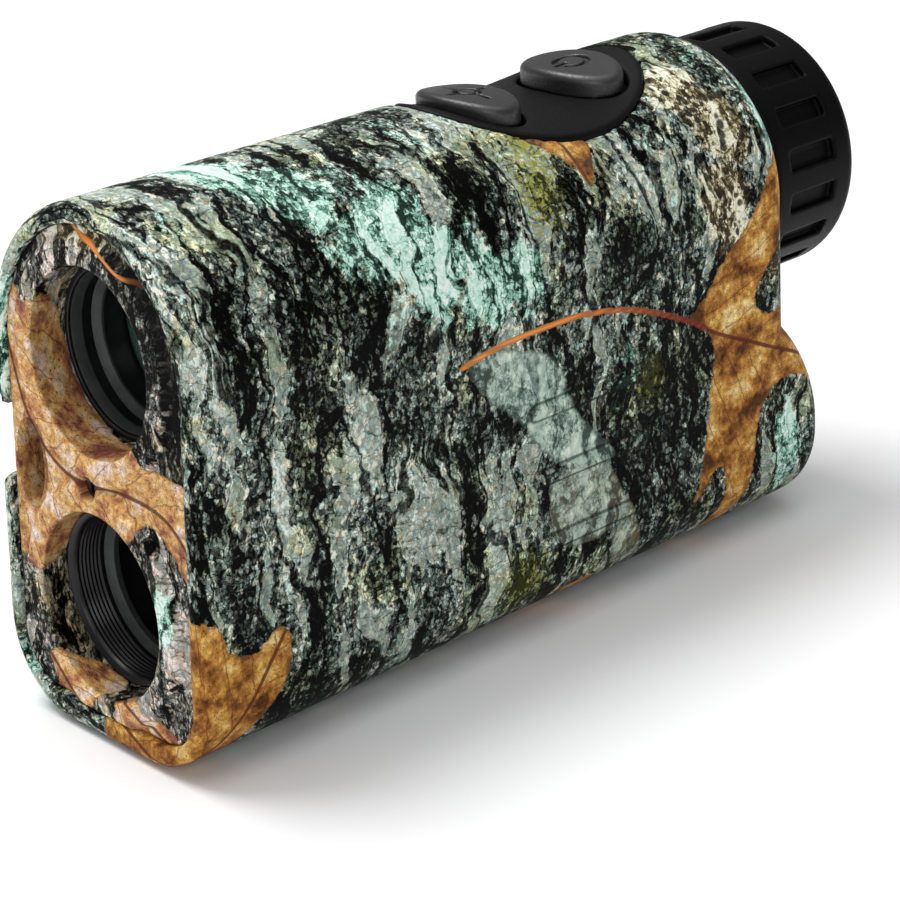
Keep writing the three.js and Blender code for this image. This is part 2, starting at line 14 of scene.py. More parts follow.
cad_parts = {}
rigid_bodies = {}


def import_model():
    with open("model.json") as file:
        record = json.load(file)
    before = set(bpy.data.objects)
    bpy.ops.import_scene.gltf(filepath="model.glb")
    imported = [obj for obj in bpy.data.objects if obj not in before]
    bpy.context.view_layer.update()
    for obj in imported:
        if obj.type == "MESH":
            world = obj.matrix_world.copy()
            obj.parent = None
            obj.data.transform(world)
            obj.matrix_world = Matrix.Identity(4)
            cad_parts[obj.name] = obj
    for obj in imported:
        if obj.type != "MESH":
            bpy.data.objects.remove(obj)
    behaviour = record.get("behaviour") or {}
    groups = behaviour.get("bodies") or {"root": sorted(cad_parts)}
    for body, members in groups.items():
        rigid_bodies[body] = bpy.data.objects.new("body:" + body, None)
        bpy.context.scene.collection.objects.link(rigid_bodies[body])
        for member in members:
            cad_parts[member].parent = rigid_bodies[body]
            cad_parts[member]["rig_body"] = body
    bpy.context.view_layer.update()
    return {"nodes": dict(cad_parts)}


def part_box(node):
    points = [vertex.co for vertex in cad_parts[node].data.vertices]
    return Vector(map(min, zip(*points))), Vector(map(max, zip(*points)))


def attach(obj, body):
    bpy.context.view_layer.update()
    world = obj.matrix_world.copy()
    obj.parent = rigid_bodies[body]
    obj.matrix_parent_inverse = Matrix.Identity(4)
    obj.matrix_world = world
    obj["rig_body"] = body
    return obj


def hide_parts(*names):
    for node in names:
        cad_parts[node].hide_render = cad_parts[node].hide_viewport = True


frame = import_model()

scene = bpy.context.scene
MM = 0.001

# ---------------------------------------------------------------- dimensions
# Millimetres and radians, as in the CAD part, but for the front plate's slightly wider rings and deeper
# recess.
HALF_WIDTH = 18.8
TOP_CENTRE = 44.2
CORNER = 11.0
UPPER_REAR = 94.0
BLOCK_REAR = 101.0
BLOCK_TOP = 27.8
SHOULDER_SLOPE = math.radians(54.9)
FRONT_SLOPE = 0.07
RIM = 2.2
FLOOR = 3.5
FOOT_HEIGHT = 0.3
FOOT_HALF_WIDTH = 7.4
INNER_CORNER = 6.3
INNER_HALF = HALF_WIDTH - RIM
RIB_Y = 57.5
RIB_Z = (29.3, 20.8, 12.2)

OBJECTIVE_Z = 45.4
EMITTER_Z = 16.8
EYE_Z = 44.6
BATTERY_Z = 13.2
OBJECTIVE_HOLE = 10.9
EMITTER_HOLE = 11.1
APERTURES = ((OBJECTIVE_Z, OBJECTIVE_HOLE), (EMITTER_Z, EMITTER_HOLE))
RING_WIDTH = 3.2
PLATE_BACK = 3.0
COLLAR_BACK = 6.0
PLATE_RECESS = 0.85
SLOT_Z = 32.4
EYELET_X, EYELET_Z = -12.9, 30.4
SCREW_X, SCREW_Z = -1.2, 30.6
SEAM = 0.12

PAD_Y = 66.3
PAD_LOW = 60.2
PAD_DIP = 51.6
PAD_CROWN = 43.0
KEY_Y = {"mode_button": 57.7, "power_button": 75.1}
KEY_LONG = 7.7
KEY_SHORT = 4.7
KEY_RISE = 2.4
KEY_DIP = 120.0

POCKETS = 18
POCKET_Y = 101.6

# Where the front plane's origin lies along the row frame's Y.
ORIGIN_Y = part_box("main_housing")[1].y - BLOCK_REAR * MM


def to_metres(points):
    """Points in millimetres from the front plane, as points in the row frame."""
    return np.asarray(points) * MM + np.array([0, ORIGIN_Y, 0])


def add_object(name, data):
    made = bpy.data.objects.new(name, data)
    scene.collection.objects.link(made)
    return made


# ---------------------------------------------------------------- camera
def make_camera():
    azimuth, elevation, roll = math.radians(48.78), math.radians(22.61), math.radians(-3.53)
    target = Vector(to_metres([7.95, 45.52, 22.46]))
    back = Vector((math.sin(azimuth) * math.cos(elevation),
                   -math.cos(azimuth) * math.cos(elevation),
                   math.sin(elevation)))
    right = Vector((math.cos(azimuth), math.sin(azimuth), 0))
    up = back.cross(right)
    turned_right = math.cos(roll) * right + math.sin(roll) * up
    turned_up = math.cos(roll) * up - math.sin(roll) * right
    data = bpy.data.cameras.new("camera")
    data.lens = 107.24
    data.sensor_width = 36
    data.shift_x = -0.0067
    data.shift_y = 0.0028
    data.clip_start = 0.01
    camera = add_object("camera", data)
    camera.matrix_world = Matrix((turned_right, turned_up, back)).transposed().to_4x4()
    camera.location = target + back * 0.32114
    scene.camera = camera


# ---------------------------------------------------------------- light and floor
def area_light(name, place, aim, size, power):
    data = bpy.data.lights.new(name, "AREA")
    data.shape = "DISK"
    data.size = size
    data.energy = power
    light = add_object(name, data)
    light.location = place
    light.rotation_euler = (Vector(aim) - Vector(place)).to_track_quat("-Z", "Y").to_euler()


def make_studio():
    world = bpy.data.worlds.new("studio")
    world.use_nodes = True
    world.node_tree.nodes["Background"].inputs["Color"].default_value = (1.0, 1.0, 1.0, 1)
    world.node_tree.nodes["Background"].inputs["Strength"].default_value = 0.30
    scene.world = world
    scene.view_settings.view_transform = "Standard"
    centre = (0, 0, 0.03)
    area_light("overhead", (-0.1, 0.1, 2.5), (-0.1, 0.1, 0), 3.6, 36)
    area_light("key", (-0.75, -0.22, 1.9), centre, 1.0, 27)
    area_light("fill", (0.8, -0.8, 0.55), centre, 0.6, 3.0)


def make_floor():
    mesh = bpy.data.meshes.new("floor")
    half = 4.0
    corners = [(-half, -half, 0), (half, -half, 0), (half, half, 0), (-half, half, 0)]
    mesh.from_pydata(corners, [], [(0, 1, 2, 3)])
    floor = add_object("floor", mesh)
    n = Nodes("floor_paper")
    grain = n.noise(n.object_mm(), 0.05, detail=2)
    n.surface(n.mix(grain, (0.86, 0.86, 0.87), (0.90, 0.90, 0.91)), 0.75)
    mesh.materials.append(n.material)


# ---------------------------------------------------------------- node short-hand
def grey(tone):
    return tone, tone, tone


class Nodes:
    """One material's nodes. Each call adds a node and gives back its output."""

    def __init__(self, name):
        self.material = bpy.data.materials.new(name)
        self.material.use_nodes = True
        self.tree = self.material.node_tree
        self.tree.nodes.clear()

    def add(self, kind, inputs, **settings):
        node = self.tree.nodes.new(kind)
        for key, value in settings.items():
            setattr(node, key, value)
        for key, value in inputs.items():
            if isinstance(value, bpy.types.NodeSocket):
                self.tree.links.new(value, node.inputs[key])
            else:
                node.inputs[key].default_value = value
        return node

    def object_mm(self):
        coordinates = self.add("ShaderNodeTexCoord", {}).outputs["Object"]
        return self.scaled(coordinates, (1000, 1000, 1000))

    def attribute(self, name):
        return self.add("ShaderNodeAttribute", {}, attribute_name=name).outputs["Vector"]

    def scaled(self, vector, factors):
        return self.add("ShaderNodeVectorMath", {0: vector, 1: factors}, operation="MULTIPLY").outputs[0]

    def plus(self, vector, other):
        return self.add("ShaderNodeVectorMath", {0: vector, 1: other}, operation="ADD").outputs[0]

    def warped(self, vector, scale, reach):
        """The vector pushed about by noise, by up to half of `reach` each way."""
        inputs = {"Vector": vector, "Scale": scale, "Detail": 2.0}
        colour = self.add("ShaderNodeTexNoise", inputs).outputs[1]
        centred = self.plus(colour, (-0.5, -0.5, -0.5))
        return self.plus(vector, self.scaled(centred, (reach, reach, 0)))

    def parts(self, vector):
        return self.add("ShaderNodeSeparateXYZ", {0: vector}).outputs

    def math(self, operation, a, b=0.0):
        return self.add("ShaderNodeMath", {0: a, 1: b}, operation=operation).outputs[0]

    def total(self, a, b):
        return self.math("ADD", a, b)

    def minus(self, a, b):
        return self.math("SUBTRACT", a, b)

    def times(self, a, b):
        return self.math("MULTIPLY", a, b)

    def apart(self, a, b):
        """How far two numbers are apart."""
        return self.math("ABSOLUTE", self.minus(a, b))

    def step(self, value, low, high, first=0.0, last=1.0):
        """A smooth change from `first` to `last` while the value goes from low to high."""
        inputs = {0: value, 1: low, 2: high, 3: first, 4: last}
        return self.add("ShaderNodeMapRange", inputs, interpolation_type="SMOOTHSTEP").outputs[0]

    def noise(self, vector, scale, detail=4.0, roughness=0.5):
        inputs = {"Vector": vector, "Scale": scale, "Detail": detail, "Roughness": roughness}
        return self.add("ShaderNodeTexNoise", inputs).outputs[0]

    def cells(self, vector, scale, feature="F1"):
        return self.add("ShaderNodeTexVoronoi", {"Vector": vector, "Scale": scale}, feature=feature).outputs

    def mix(self, factor, a, b, blend="MIX"):
        """Two colours mixed, each a node's output or red, green and blue."""
        a, b = ((*side, 1) if isinstance(side, tuple) else side for side in (a, b))
        inputs = {0: factor, 6: a, 7: b}
        return self.add("ShaderNodeMix", inputs, data_type="RGBA", blend_type=blend).outputs[2]

    def dyed(self, colour, dye, amount=1.0):
        """A colour multiplied by another."""
        return self.mix(amount, colour, dye, "MULTIPLY")

    def ramp(self, value, stops):
        node = self.add("ShaderNodeValToRGB", {0: value})
        elements = node.color_ramp.elements
        while len(elements) < len(stops):
            elements.new(0.5)
        for element, (place, colour) in zip(elements, stops):
            element.position = place
            element.color = (*colour, 1)
        return node.outputs[0]

    def bump(self, height, distance, strength=1.0):
        inputs = {"Height": height, "Distance": distance, "Strength": strength}
        return self.add("ShaderNodeBump", inputs).outputs[0]

    def surface(self, colour, roughness, normal=None, **constants):
        shader = self.add("ShaderNodeBsdfPrincipled", {"Base Color": colour, "Roughness": roughness})
        if normal is not None:
            self.tree.links.new(normal, shader.inputs["Normal"])
        for key, value in constants.items():
            shader.inputs[key.replace("_", " ")].default_value = value
        self.add("ShaderNodeOutputMaterial", {"Surface": shader.outputs[0]})


# ---------------------------------------------------------------- distance formulas
def smooth_max(a, b, radius):
    """The overlap of two shapes, with the edge between them rounded."""
    near = np.hypot(np.maximum(radius + a, 0), np.maximum(radius + b, 0))
    return np.minimum(-radius, np.maximum(a, b)) + near


def smooth_min(a, b, radius):
    """Two shapes joined, with the corner between them filled."""
    return -smooth_max(-a, -b, radius)


def front_at(z):
    return FRONT_SLOPE * (z - OBJECTIVE_Z)


def front_plane(y, z, recess):
    return (front_at(z) + recess - y) / math.hypot(1, FRONT_SLOPE)


def section(x, z, half, bottom, corner):
    """The housing's outline across X and Z: a round top, straight sides, rounded bottom corners."""
    across = np.abs(x) - (half - corner)
    down = bottom + corner - z
    corners = np.hypot(np.maximum(across, 0), np.maximum(down, 0))
    sides = corners + np.minimum(np.maximum(across, down), 0) - corner
    return np.where(z > TOP_CENTRE, np.hypot(x, z - TOP_CENTRE) - half, sides)


def ellipse(x, y, a, b):
    size = np.hypot(x / a, y / b)
    slope = np.hypot(x / a ** 2, y / b ** 2)
    return size * (size - 1) / np.maximum(slope, 1e-6)


def above_saddle(x, y, z, drop, dip=PAD_DIP):
    """What lies above the saddle of the keypad, lowered by `drop`."""
    fall = PAD_CROWN - np.sqrt(PAD_CROWN ** 2 - np.minimum(x ** 2, 900))
    return np.hypot(y - PAD_Y, z - (PAD_LOW + dip)) - (dip + drop + fall)


def rounded_box(a, b, half_a, half_b, corner):
    qa = np.abs(a) - (half_a - corner)
    qb = np.abs(b) - (half_b - corner)
    return np.hypot(np.maximum(qa, 0), np.maximum(qb, 0)) + np.minimum(np.maximum(qa, qb), 0) - corner


def cylinder(x, y, z, axis_z, radius, y0, y1, edge=0.0):
    wall = np.hypot(x, z - axis_z) - radius
    ends = np.maximum(y0 - y, y - y1)
    return smooth_max(wall, ends, edge) if edge else np.maximum(wall, ends)


def rib_outline(y, z):
    """The outlines of the three grip ribs on each flank."""
    return np.minimum.reduce([rounded_box(y - RIB_Y, z - rib_z, 9.5, 0.9, 0.5) for rib_z in RIB_Z])


def housing_distance(x, y, z):
    side = section(x, z, HALF_WIDTH, FOOT_HEIGHT, CORNER)
    shoulder = math.cos(SHOULDER_SLOPE) * (y - UPPER_REAR) + math.sin(SHOULDER_SLOPE) * (z - BLOCK_TOP)
    rear = smooth_max(y - BLOCK_REAR, shoulder, 9)
    block = np.maximum(smooth_max(side, rear, 4), smooth_max(FOOT_HEIGHT - z, y - BLOCK_REAR, 8))
    upper = smooth_max(side, y - UPPER_REAR, 3.2)
    outside = smooth_max(np.minimum(upper, block), front_plane(y, z, 0), 1.5)

    hollow_end = np.minimum(y - (UPPER_REAR - RIM), np.maximum(rear + RIM, z - (BLOCK_TOP - RIM)))
    hollow = np.maximum(section(x, z, INNER_HALF, FLOOR, INNER_CORNER), hollow_end)
    key_well = np.maximum(np.abs(y - PAD_Y) - 20, 56.9 - z)
    foot = np.maximum(rounded_box(x, y - 45, FOOT_HALF_WIDTH, 43, 1.5), np.maximum(-z, z - 1))
    shell = smooth_max(np.minimum(outside, foot), -np.maximum(hollow, -key_well), 0.4)

    rib = np.maximum(rib_outline(y, z), np.abs(x) - HALF_WIDTH - 0.3)
    shell = smooth_min(shell, np.maximum(rib, HALF_WIDTH - 1 - np.abs(x)), 0.25)

    pad_y = y - PAD_Y
    scoop = np.maximum(ellipse(x, pad_y, 14.2, 19), above_saddle(x, y, z, 0))
    shell = smooth_max(shell, -scoop, 0.8)
    pocket = np.maximum(ellipse(x, pad_y, 12.8, 17.2), above_saddle(x, y, z, 1.8))
    shell = smooth_max(shell, -pocket, 0.45)
    for key_y in KEY_Y.values():
        shell = np.maximum(shell, np.minimum(3 - np.hypot(x, y - key_y), z - 50))
    shell = smooth_max(shell, -cylinder(x, y, z, EYE_Z, 13.5, 89, 97), 0.4)
    shell = smooth_max(shell, -cylinder(x, y, z, BATTERY_Z, 10.5, 92, 104), 0.5)
    bevel = np.maximum(rounded_box(y, z - SLOT_Z, 8.5, 5, 2), x + 17.5)
    cord_slot = np.maximum(rounded_box(y - 1.8, z - SLOT_Z, 6.4, 4.2, 1.5), x + 16)
    return smooth_max(smooth_max(shell, -bevel, 0.6), -cord_slot, 0.3)


def eyelet(x, z):
    """The oval opening for a cord in the front plate."""
    return ellipse(x - EYELET_X, z - EYELET_Z, 2.2, 4.6)


def bezel_distance(x, y, z):
    outline = section(x, z, INNER_HALF - SEAM, FLOOR + SEAM, INNER_CORNER - SEAM)
    plate = smooth_max(np.maximum(outline, y - PLATE_BACK), front_plane(y, z, PLATE_RECESS), 0.15)
    for axis_z, hole in APERTURES:
        radius = np.hypot(x, z - axis_z)
        ring = smooth_max(radius - hole - RING_WIDTH, front_plane(y, z, 0), 0.75)
        ring = np.maximum(ring, np.maximum(y - COLLAR_BACK, outline))
        plate = smooth_min(plate, ring, 0.5)
    for axis_z, hole in APERTURES:
        radius = np.hypot(x, z - axis_z)
        taper = hole - 0.13 * (y - front_at(z))
        plate = smooth_max(plate, taper - radius, 0.22)
    screw_radius = np.hypot(x - SCREW_X, z - SCREW_Z)
    plate = smooth_max(plate, np.minimum(1.5 - screw_radius, 2 - y), 0.2)
    plate = np.maximum(plate, 1.1 - screw_radius)
    return smooth_max(plate, -eyelet(x, z), 0.3)


def keypad_distance(x, y, z):
    outline = ellipse(x, y - PAD_Y, 12.7, 17.1)
    pad = smooth_max(smooth_max(outline, -above_saddle(x, y, z, 0), 0.7), above_saddle(x, y, z, 1.5), 0.2)
    for key_y in KEY_Y.values():
        moat = ellipse(x, y - key_y, KEY_LONG + 0.5, KEY_SHORT + 0.5)
        pad = smooth_max(pad, -moat, 0.45)
    return pad


def power_symbol(x, up):
    """A ring open at the top with a bar in the gap."""
    ring = np.abs(np.hypot(x, up) - 2.0) - 0.36
    gap = np.maximum(np.abs(x) - 0.8, -up)
    bar = np.maximum(np.abs(x) - 0.36, np.abs(up - 1.75) - 1.05)
    return np.minimum(np.maximum(ring, -gap), bar)


def reticle_symbol(x, up):
    """A small circle with four short lines around it."""
    circle = np.abs(np.hypot(x, up) - 1.4) - 0.32
    across = np.maximum(np.abs(up) - 0.32, np.abs(np.abs(x) - 3.0) - 1.0)
    along = np.maximum(np.abs(x) - 0.32, np.abs(np.abs(up) - 2.5) - 0.6)
    return np.minimum(circle, np.minimum(across, along))


def key_distance(name):
    key_y = KEY_Y[name]
    symbol = power_symbol if name == "power_button" else reticle_symbol

    def distance(x, y, z):
        top = -above_saddle(x, y, z, -KEY_RISE, KEY_DIP)
        outline = ellipse(x, y - key_y, KEY_LONG, KEY_SHORT)
        crown = smooth_max(np.maximum(outline, above_saddle(x, y, z, 0.4)), top, 0.9)
        stem = np.maximum(np.hypot(x, y - key_y) - 2.4, np.maximum(56.7 - z, z - 60.8))
        mark = np.maximum(symbol(x, key_y - y), -0.5 - top)
        return smooth_max(np.minimum(crown, stem), -mark, 0.08)

    return distance


def ring_distance(x, y, z):
    radius = np.hypot(x, z - EYE_Z)
    ring = smooth_max(radius - 16.3, 94.7 - y, 0.6)
    ring = smooth_max(ring, y - 110, 1.7)
    bore = np.minimum(np.maximum(radius - 13.6, y - 107), radius - 11.9)
    ring = smooth_max(ring, -bore, 0.4)
    step = 2 * math.pi / POCKETS
    angle = np.arctan2(z - EYE_Z, x) - step / 2
    offset = radius * np.sin(angle - step * np.round(angle / step))
    pocket = rounded_box(offset, y - POCKET_Y, 1.25, 4.1, 0.3)
    return smooth_max(ring, -np.maximum(pocket, 15.35 - radius), 0.22)


def cap_distance(x, y, z):
    radius = np.hypot(x, z - BATTERY_Z)
    cap = cylinder(x, y, z, BATTERY_Z, 9.6, 101.7, 103.2, 0.45)
    notch_step = 2 * math.pi / 30
    angle = np.arctan2(z - BATTERY_Z, x)
    offset = radius * np.sin(angle - notch_step * np.round(angle / notch_step))
    cap = smooth_max(cap, 0.55 - np.hypot(offset, radius - 9.85), 0.15)
    neck = cylinder(x, y, z, BATTERY_Z, 8.6, 95.6, 101.8, 0.2)
    seal_groove = np.maximum(np.abs(y - 99.3) - 0.9, 7.3 - radius)
    cap = np.minimum(cap, np.maximum(neck, -seal_groove))
    cap = np.maximum(cap, -cylinder(x, y, z, BATTERY_Z, 6.2, 90, 98.8))
    coin_slot = np.maximum(rounded_box(x, z - BATTERY_Z, 7, 0.9, 0.4), 102 - y)
    return smooth_max(cap, -coin_slot, 0.25)


# ---------------------------------------------------------------- meshes
def slope_of(distance, points):
    """The distance formula's value and steepest direction at each point."""
    value = distance(*points.T)
    reach = 0.02
    slope = np.empty_like(points)
    for axis in range(3):
        moved = points.copy()
        moved[:, axis] += reach
        slope[:, axis] = (distance(*moved.T) - value) / reach
    return value, slope


def net(distance, low, high, cell):
    """A closed mesh over a distance formula's zero surface, one corner in each cell that it crosses."""
    axes = [np.arange(a - 2 * cell, b + 3 * cell, cell) for a, b in zip(low, high)]
    value = distance(*np.meshgrid(*axes, indexing="ij"))
    inside = value < 0
    shape = value.shape
    strides = np.array([shape[1] * shape[2], shape[2], 1])
    total = np.zeros((value.size, 3))
    hits = np.zeros(value.size)
    quads = []
    for axis in range(3):
        unit = np.eye(3, dtype=int)[axis]
        lower = tuple(slice(0, shape[k] - unit[k]) for k in range(3))
        upper = tuple(slice(unit[k], None) for k in range(3))
        start = np.argwhere(inside[lower] != inside[upper])
        end = start + unit
        first = value[tuple(start.T)]
        last = value[tuple(end.T)]
        crossing = start + unit * (first / (first - last))[:, None]
        one, two = (np.eye(3, dtype=int)[(axis + k) % 3] for k in (1, 2))
        around = [((start - shift) * strides).sum(1) for shift in (0 * one, one, one + two, two)]
        for cell_index in around:
            hits += np.bincount(cell_index, minlength=value.size)
            for k in range(3):
                total[:, k] += np.bincount(cell_index, crossing[:, k], value.size)
        quad = np.stack(around, 1)
        outward = inside[tuple(start.T)]
        quad[~outward] = quad[~outward, ::-1]
        quads.append(quad)
    used = np.flatnonzero(hits)
    number = np.zeros(value.size, int)
    number[used] = np.arange(len(used))
    origin = np.array([a[0] for a in axes])
    points = total[used] / hits[used, None] * cell + origin
    for _ in range(4):
        height, slope = slope_of(distance, points)
        move = height[:, None] * slope / np.maximum((slope ** 2).sum(1), 0.25)[:, None]
        points -= np.clip(move, -0.4 * cell, 0.4 * cell)
    return points, number[np.concatenate(quads)].tolist()


def add_mesh(name, points, faces):
    mesh = bpy.data.meshes.new(name)
    mesh.from_pydata(to_metres(points).tolist(), [], faces)
    mesh.polygons.foreach_set("use_smooth", [True] * len(mesh.polygons))
    mesh.update()
    return add_object(name, mesh)


def place(made, node, slot, material):
    """The made piece stands for a CAD node and rides on that node's body."""
    made.data.materials.append(material)
    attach(made, frame["nodes"][node]["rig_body"])
    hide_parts(node)


def net_piece(node, distance, cell, slot, material):
    low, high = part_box(node)
    shift = Vector((0, ORIGIN_Y, 0))
    points, faces = net(distance, (low - shift) / MM, (high - shift) / MM, cell)
    made = add_mesh(node + "_skin", points, faces)
    place(made, node, slot, material)
    return made, points


def rounded_profile(corners, radius=0.25, steps=4):
    """A closed profile of [radius, y] corners with each corner rounded by a short curve."""
    corners = np.array(corners, float)
    rounded = []
    for i, corner in enumerate(corners):
        before, after = corners[i - 1] - corner, corners[(i + 1) % len(corners)] - corner
        if corner[0] < 1e-6:
            rounded.append(corner)
            continue
        cut = min(radius, 0.4 * np.linalg.norm(before), 0.4 * np.linalg.norm(after))
        start = corner + before / np.linalg.norm(before) * cut
        end = corner + after / np.linalg.norm(after) * cut
        for t in np.linspace(0, 1, steps + 1):
            rounded.append((1 - t) ** 2 * start + 2 * t * (1 - t) * corner + t ** 2 * end)
    return np.array(rounded)


def lathe(profile, axis_z, segments=144):
    """A closed profile of [radius, y] points turned around an axis parallel to Y."""
    profile = np.array(profile)
    angles = np.linspace(0, 2 * math.pi, segments, endpoint=False)
    count = len(profile)
    points = []
    index = np.zeros((count, segments), int)
    for i, (radius, y) in enumerate(profile):
        if radius < 1e-6:
            index[i] = len(points)
            points.append((0, y, axis_z))
            continue
        index[i] = len(points) + np.arange(segments)
        points.extend((radius * math.cos(a), y, axis_z + radius * math.sin(a)) for a in angles)
    faces = []
    for i in range(count):
        after = (i + 1) % count
        for j in range(segments):
            k = (j + 1) % segments
            face = [index[i, j], index[after, j], index[after, k], index[i, k]]
            face = [v for n, v in enumerate(face) if v != face[n - 1]]
            if len(face) > 2:
                faces.append([int(v) for v in face])
    return np.array(points, float), faces


def lathe_piece(node, profile, axis_z, slot, material):
    points, faces = lathe(profile, axis_z)
    place(add_mesh(node + "_skin", points, faces), node, slot, material)


# ---------------------------------------------------------------- camouflage print
# The print is a film wrapped around the housing. Film coordinates are in millimetres: the first runs
# along the housing, the second up its right side, over the top and down its left side. The third is
# how deep down the wall of an opening a point lies, or -1 on inner walls that bear no print.
FILM_TOP = TOP_CENTRE + HALF_WIDTH * math.pi / 2
PLATE_FILM = -200.0                 # the front plate has its own piece of film, flat across X and Z


def housing_film(points):
    x, y, z = points.T
    right = np.abs(x)
    over_top = TOP_CENTRE + HALF_WIDTH * np.arctan2(z - TOP_CENTRE, right)
    corner_angle = np.arctan2(np.maximum(CORNER - z, 0), np.maximum(right - (HALF_WIDTH - CORNER), 1e-6))
    under = -CORNER * corner_angle + CORNER - np.maximum(HALF_WIDTH - CORNER - right, 0)
    up = np.where(z > TOP_CENTRE, over_top, np.where(z > CORNER, z, under))
    up = np.where(x < 0, 2 * FILM_TOP - up, up)
    inset = np.maximum(-section(x, z, HALF_WIDTH, FOOT_HEIGHT, CORNER), 0)
    along = y + np.where(y > UPPER_REAR - 3, inset, np.where(y < 5, -inset, 0))
    inside_rim = (inset > RIM - 0.2) & (y < 5)
    along = np.where(inside_rim, 2 * front_at(z) - y - inset, along)
    at_slot = (y < 16) & (np.abs(z - SLOT_Z) < 6)
    bare = (inset > 1.2) & (y > front_at(z) + 1.8) & (y < UPPER_REAR - 2) & ~at_slot
    return np.stack([along, up, np.where(bare, -1, 0)], 1)


def plate_film(points):
    """Flat across the plate, and carried on down the walls of its openings."""
    x, y, z = points.T
    axis_z = np.where(z > (OBJECTIVE_Z + EMITTER_Z) / 2, OBJECTIVE_Z, EMITTER_Z)
    radius = np.maximum(np.hypot(x, z - axis_z), 1e-6)
    depth = np.maximum(y - front_at(z), 0)
    in_aperture = radius < OBJECTIVE_HOLE + 0.5
    shrink = 1 - np.where(in_aperture, depth, 0) / radius
    in_eyelet = eyelet(x, z) < 0.8
    sideways = np.where(in_eyelet, np.maximum(depth - 1, 0), 0)
    wall = np.where(in_aperture | in_eyelet, depth, 0)
    return np.stack([x * shrink + sideways + PLATE_FILM, axis_z + (z - axis_z) * shrink, wall], 1)


def curve_through(corners, closed, steps=6):
    """A smooth curve through the corners."""
    corners = np.array(corners, float)
    if closed:
        padded = np.vstack([corners[-1], corners, corners[:2]])
    else:
        padded = np.vstack([2 * corners[0] - corners[1], corners, 2 * corners[-1] - corners[-2]])
    t = np.linspace(0, 1, steps, endpoint=False)[:, None]
    pieces = []
    for a, b, c, d in zip(padded, padded[1:], padded[2:], padded[3:]):
        pieces.append(0.5 * (2 * b + (c - a) * t + (2 * a - 5 * b + 4 * c - d) * t ** 2
                             + (3 * b - a - 3 * c + d) * t ** 3))
    line = np.vstack(pieces)
    return line if closed else np.vstack([line, corners[-1]])


def outline_distance(film, outline):
    """How far inside a closed outline each point of the film is; negative outside."""
    best = np.full(len(film), 1e9)
    inside = np.zeros(len(film), bool)
    for a, b in zip(outline, np.roll(outline, -1, 0)):
        edge, offset = b - a, film - a
        share = np.clip(offset @ edge / max(edge @ edge, 1e-9), 0, 1)
        best = np.minimum(best, ((offset - share[:, None] * edge) ** 2).sum(1))
        crosses = (a[1] > film[:, 1]) != (b[1] > film[:, 1])
        reach = (b[0] - a[0]) * (film[:, 1] - a[1]) / (b[1] - a[1] + 1e-12) + a[0]
        inside ^= crosses & (film[:, 0] < reach)
    return np.where(inside, 1, -1) * np.sqrt(best)


def beside_curve(film, curve):
    """Each point's distance to the left of a curve and its place along it, carried on past the ends."""
    best = np.full(len(film), 1e9)
    side = np.zeros(len(film))
    place_along = np.zeros(len(film))
    start = 0.0
    for i, (a, b) in enumerate(zip(curve, curve[1:])):
        length = np.linalg.norm(b - a)
        direction = (b - a) / length
        offset = film - a
        along = offset @ direction
        low = -1e9 if i == 0 else 0
        high = 1e9 if i == len(curve) - 2 else length
        beyond = along - np.clip(along, low, high)
        across = direction[0] * offset[:, 1] - direction[1] * offset[:, 0]
        apart = beyond ** 2 + across ** 2
        nearer = apart < best
        best[nearer] = apart[nearer]
        side[nearer] = across[nearer]
        place_along[nearer] = start + along[nearer]
        start += length
    return side, place_along


def blade(outline, midrib, colour=0):
    return {"outline": outline, "midrib": midrib, "colour": colour}


def oak_leaf(base, tip, half_width, lobes, colour=0):
    """A lobed leaf with a straight midrib from its base to its tip."""
    base, tip = np.array(base, float), np.array(tip, float)
    axis = tip - base
    side = np.array([-axis[1], axis[0]]) / np.linalg.norm(axis)
    share = np.linspace(0.02, 1, 8 * lobes + 1)
    lobe = 0.66 + 0.34 * np.cos(2 * math.pi * lobes * (share - 0.5 / lobes))
    reach = half_width * np.sin(math.pi * share ** 0.8) ** 0.7 * lobe
    one = base + share[:, None] * axis + reach[:, None] * side
    other = base + share[:, None] * axis - reach[:, None] * side
    return blade([*one, *other[::-1]], [base, (base + tip) / 2, tip], colour)


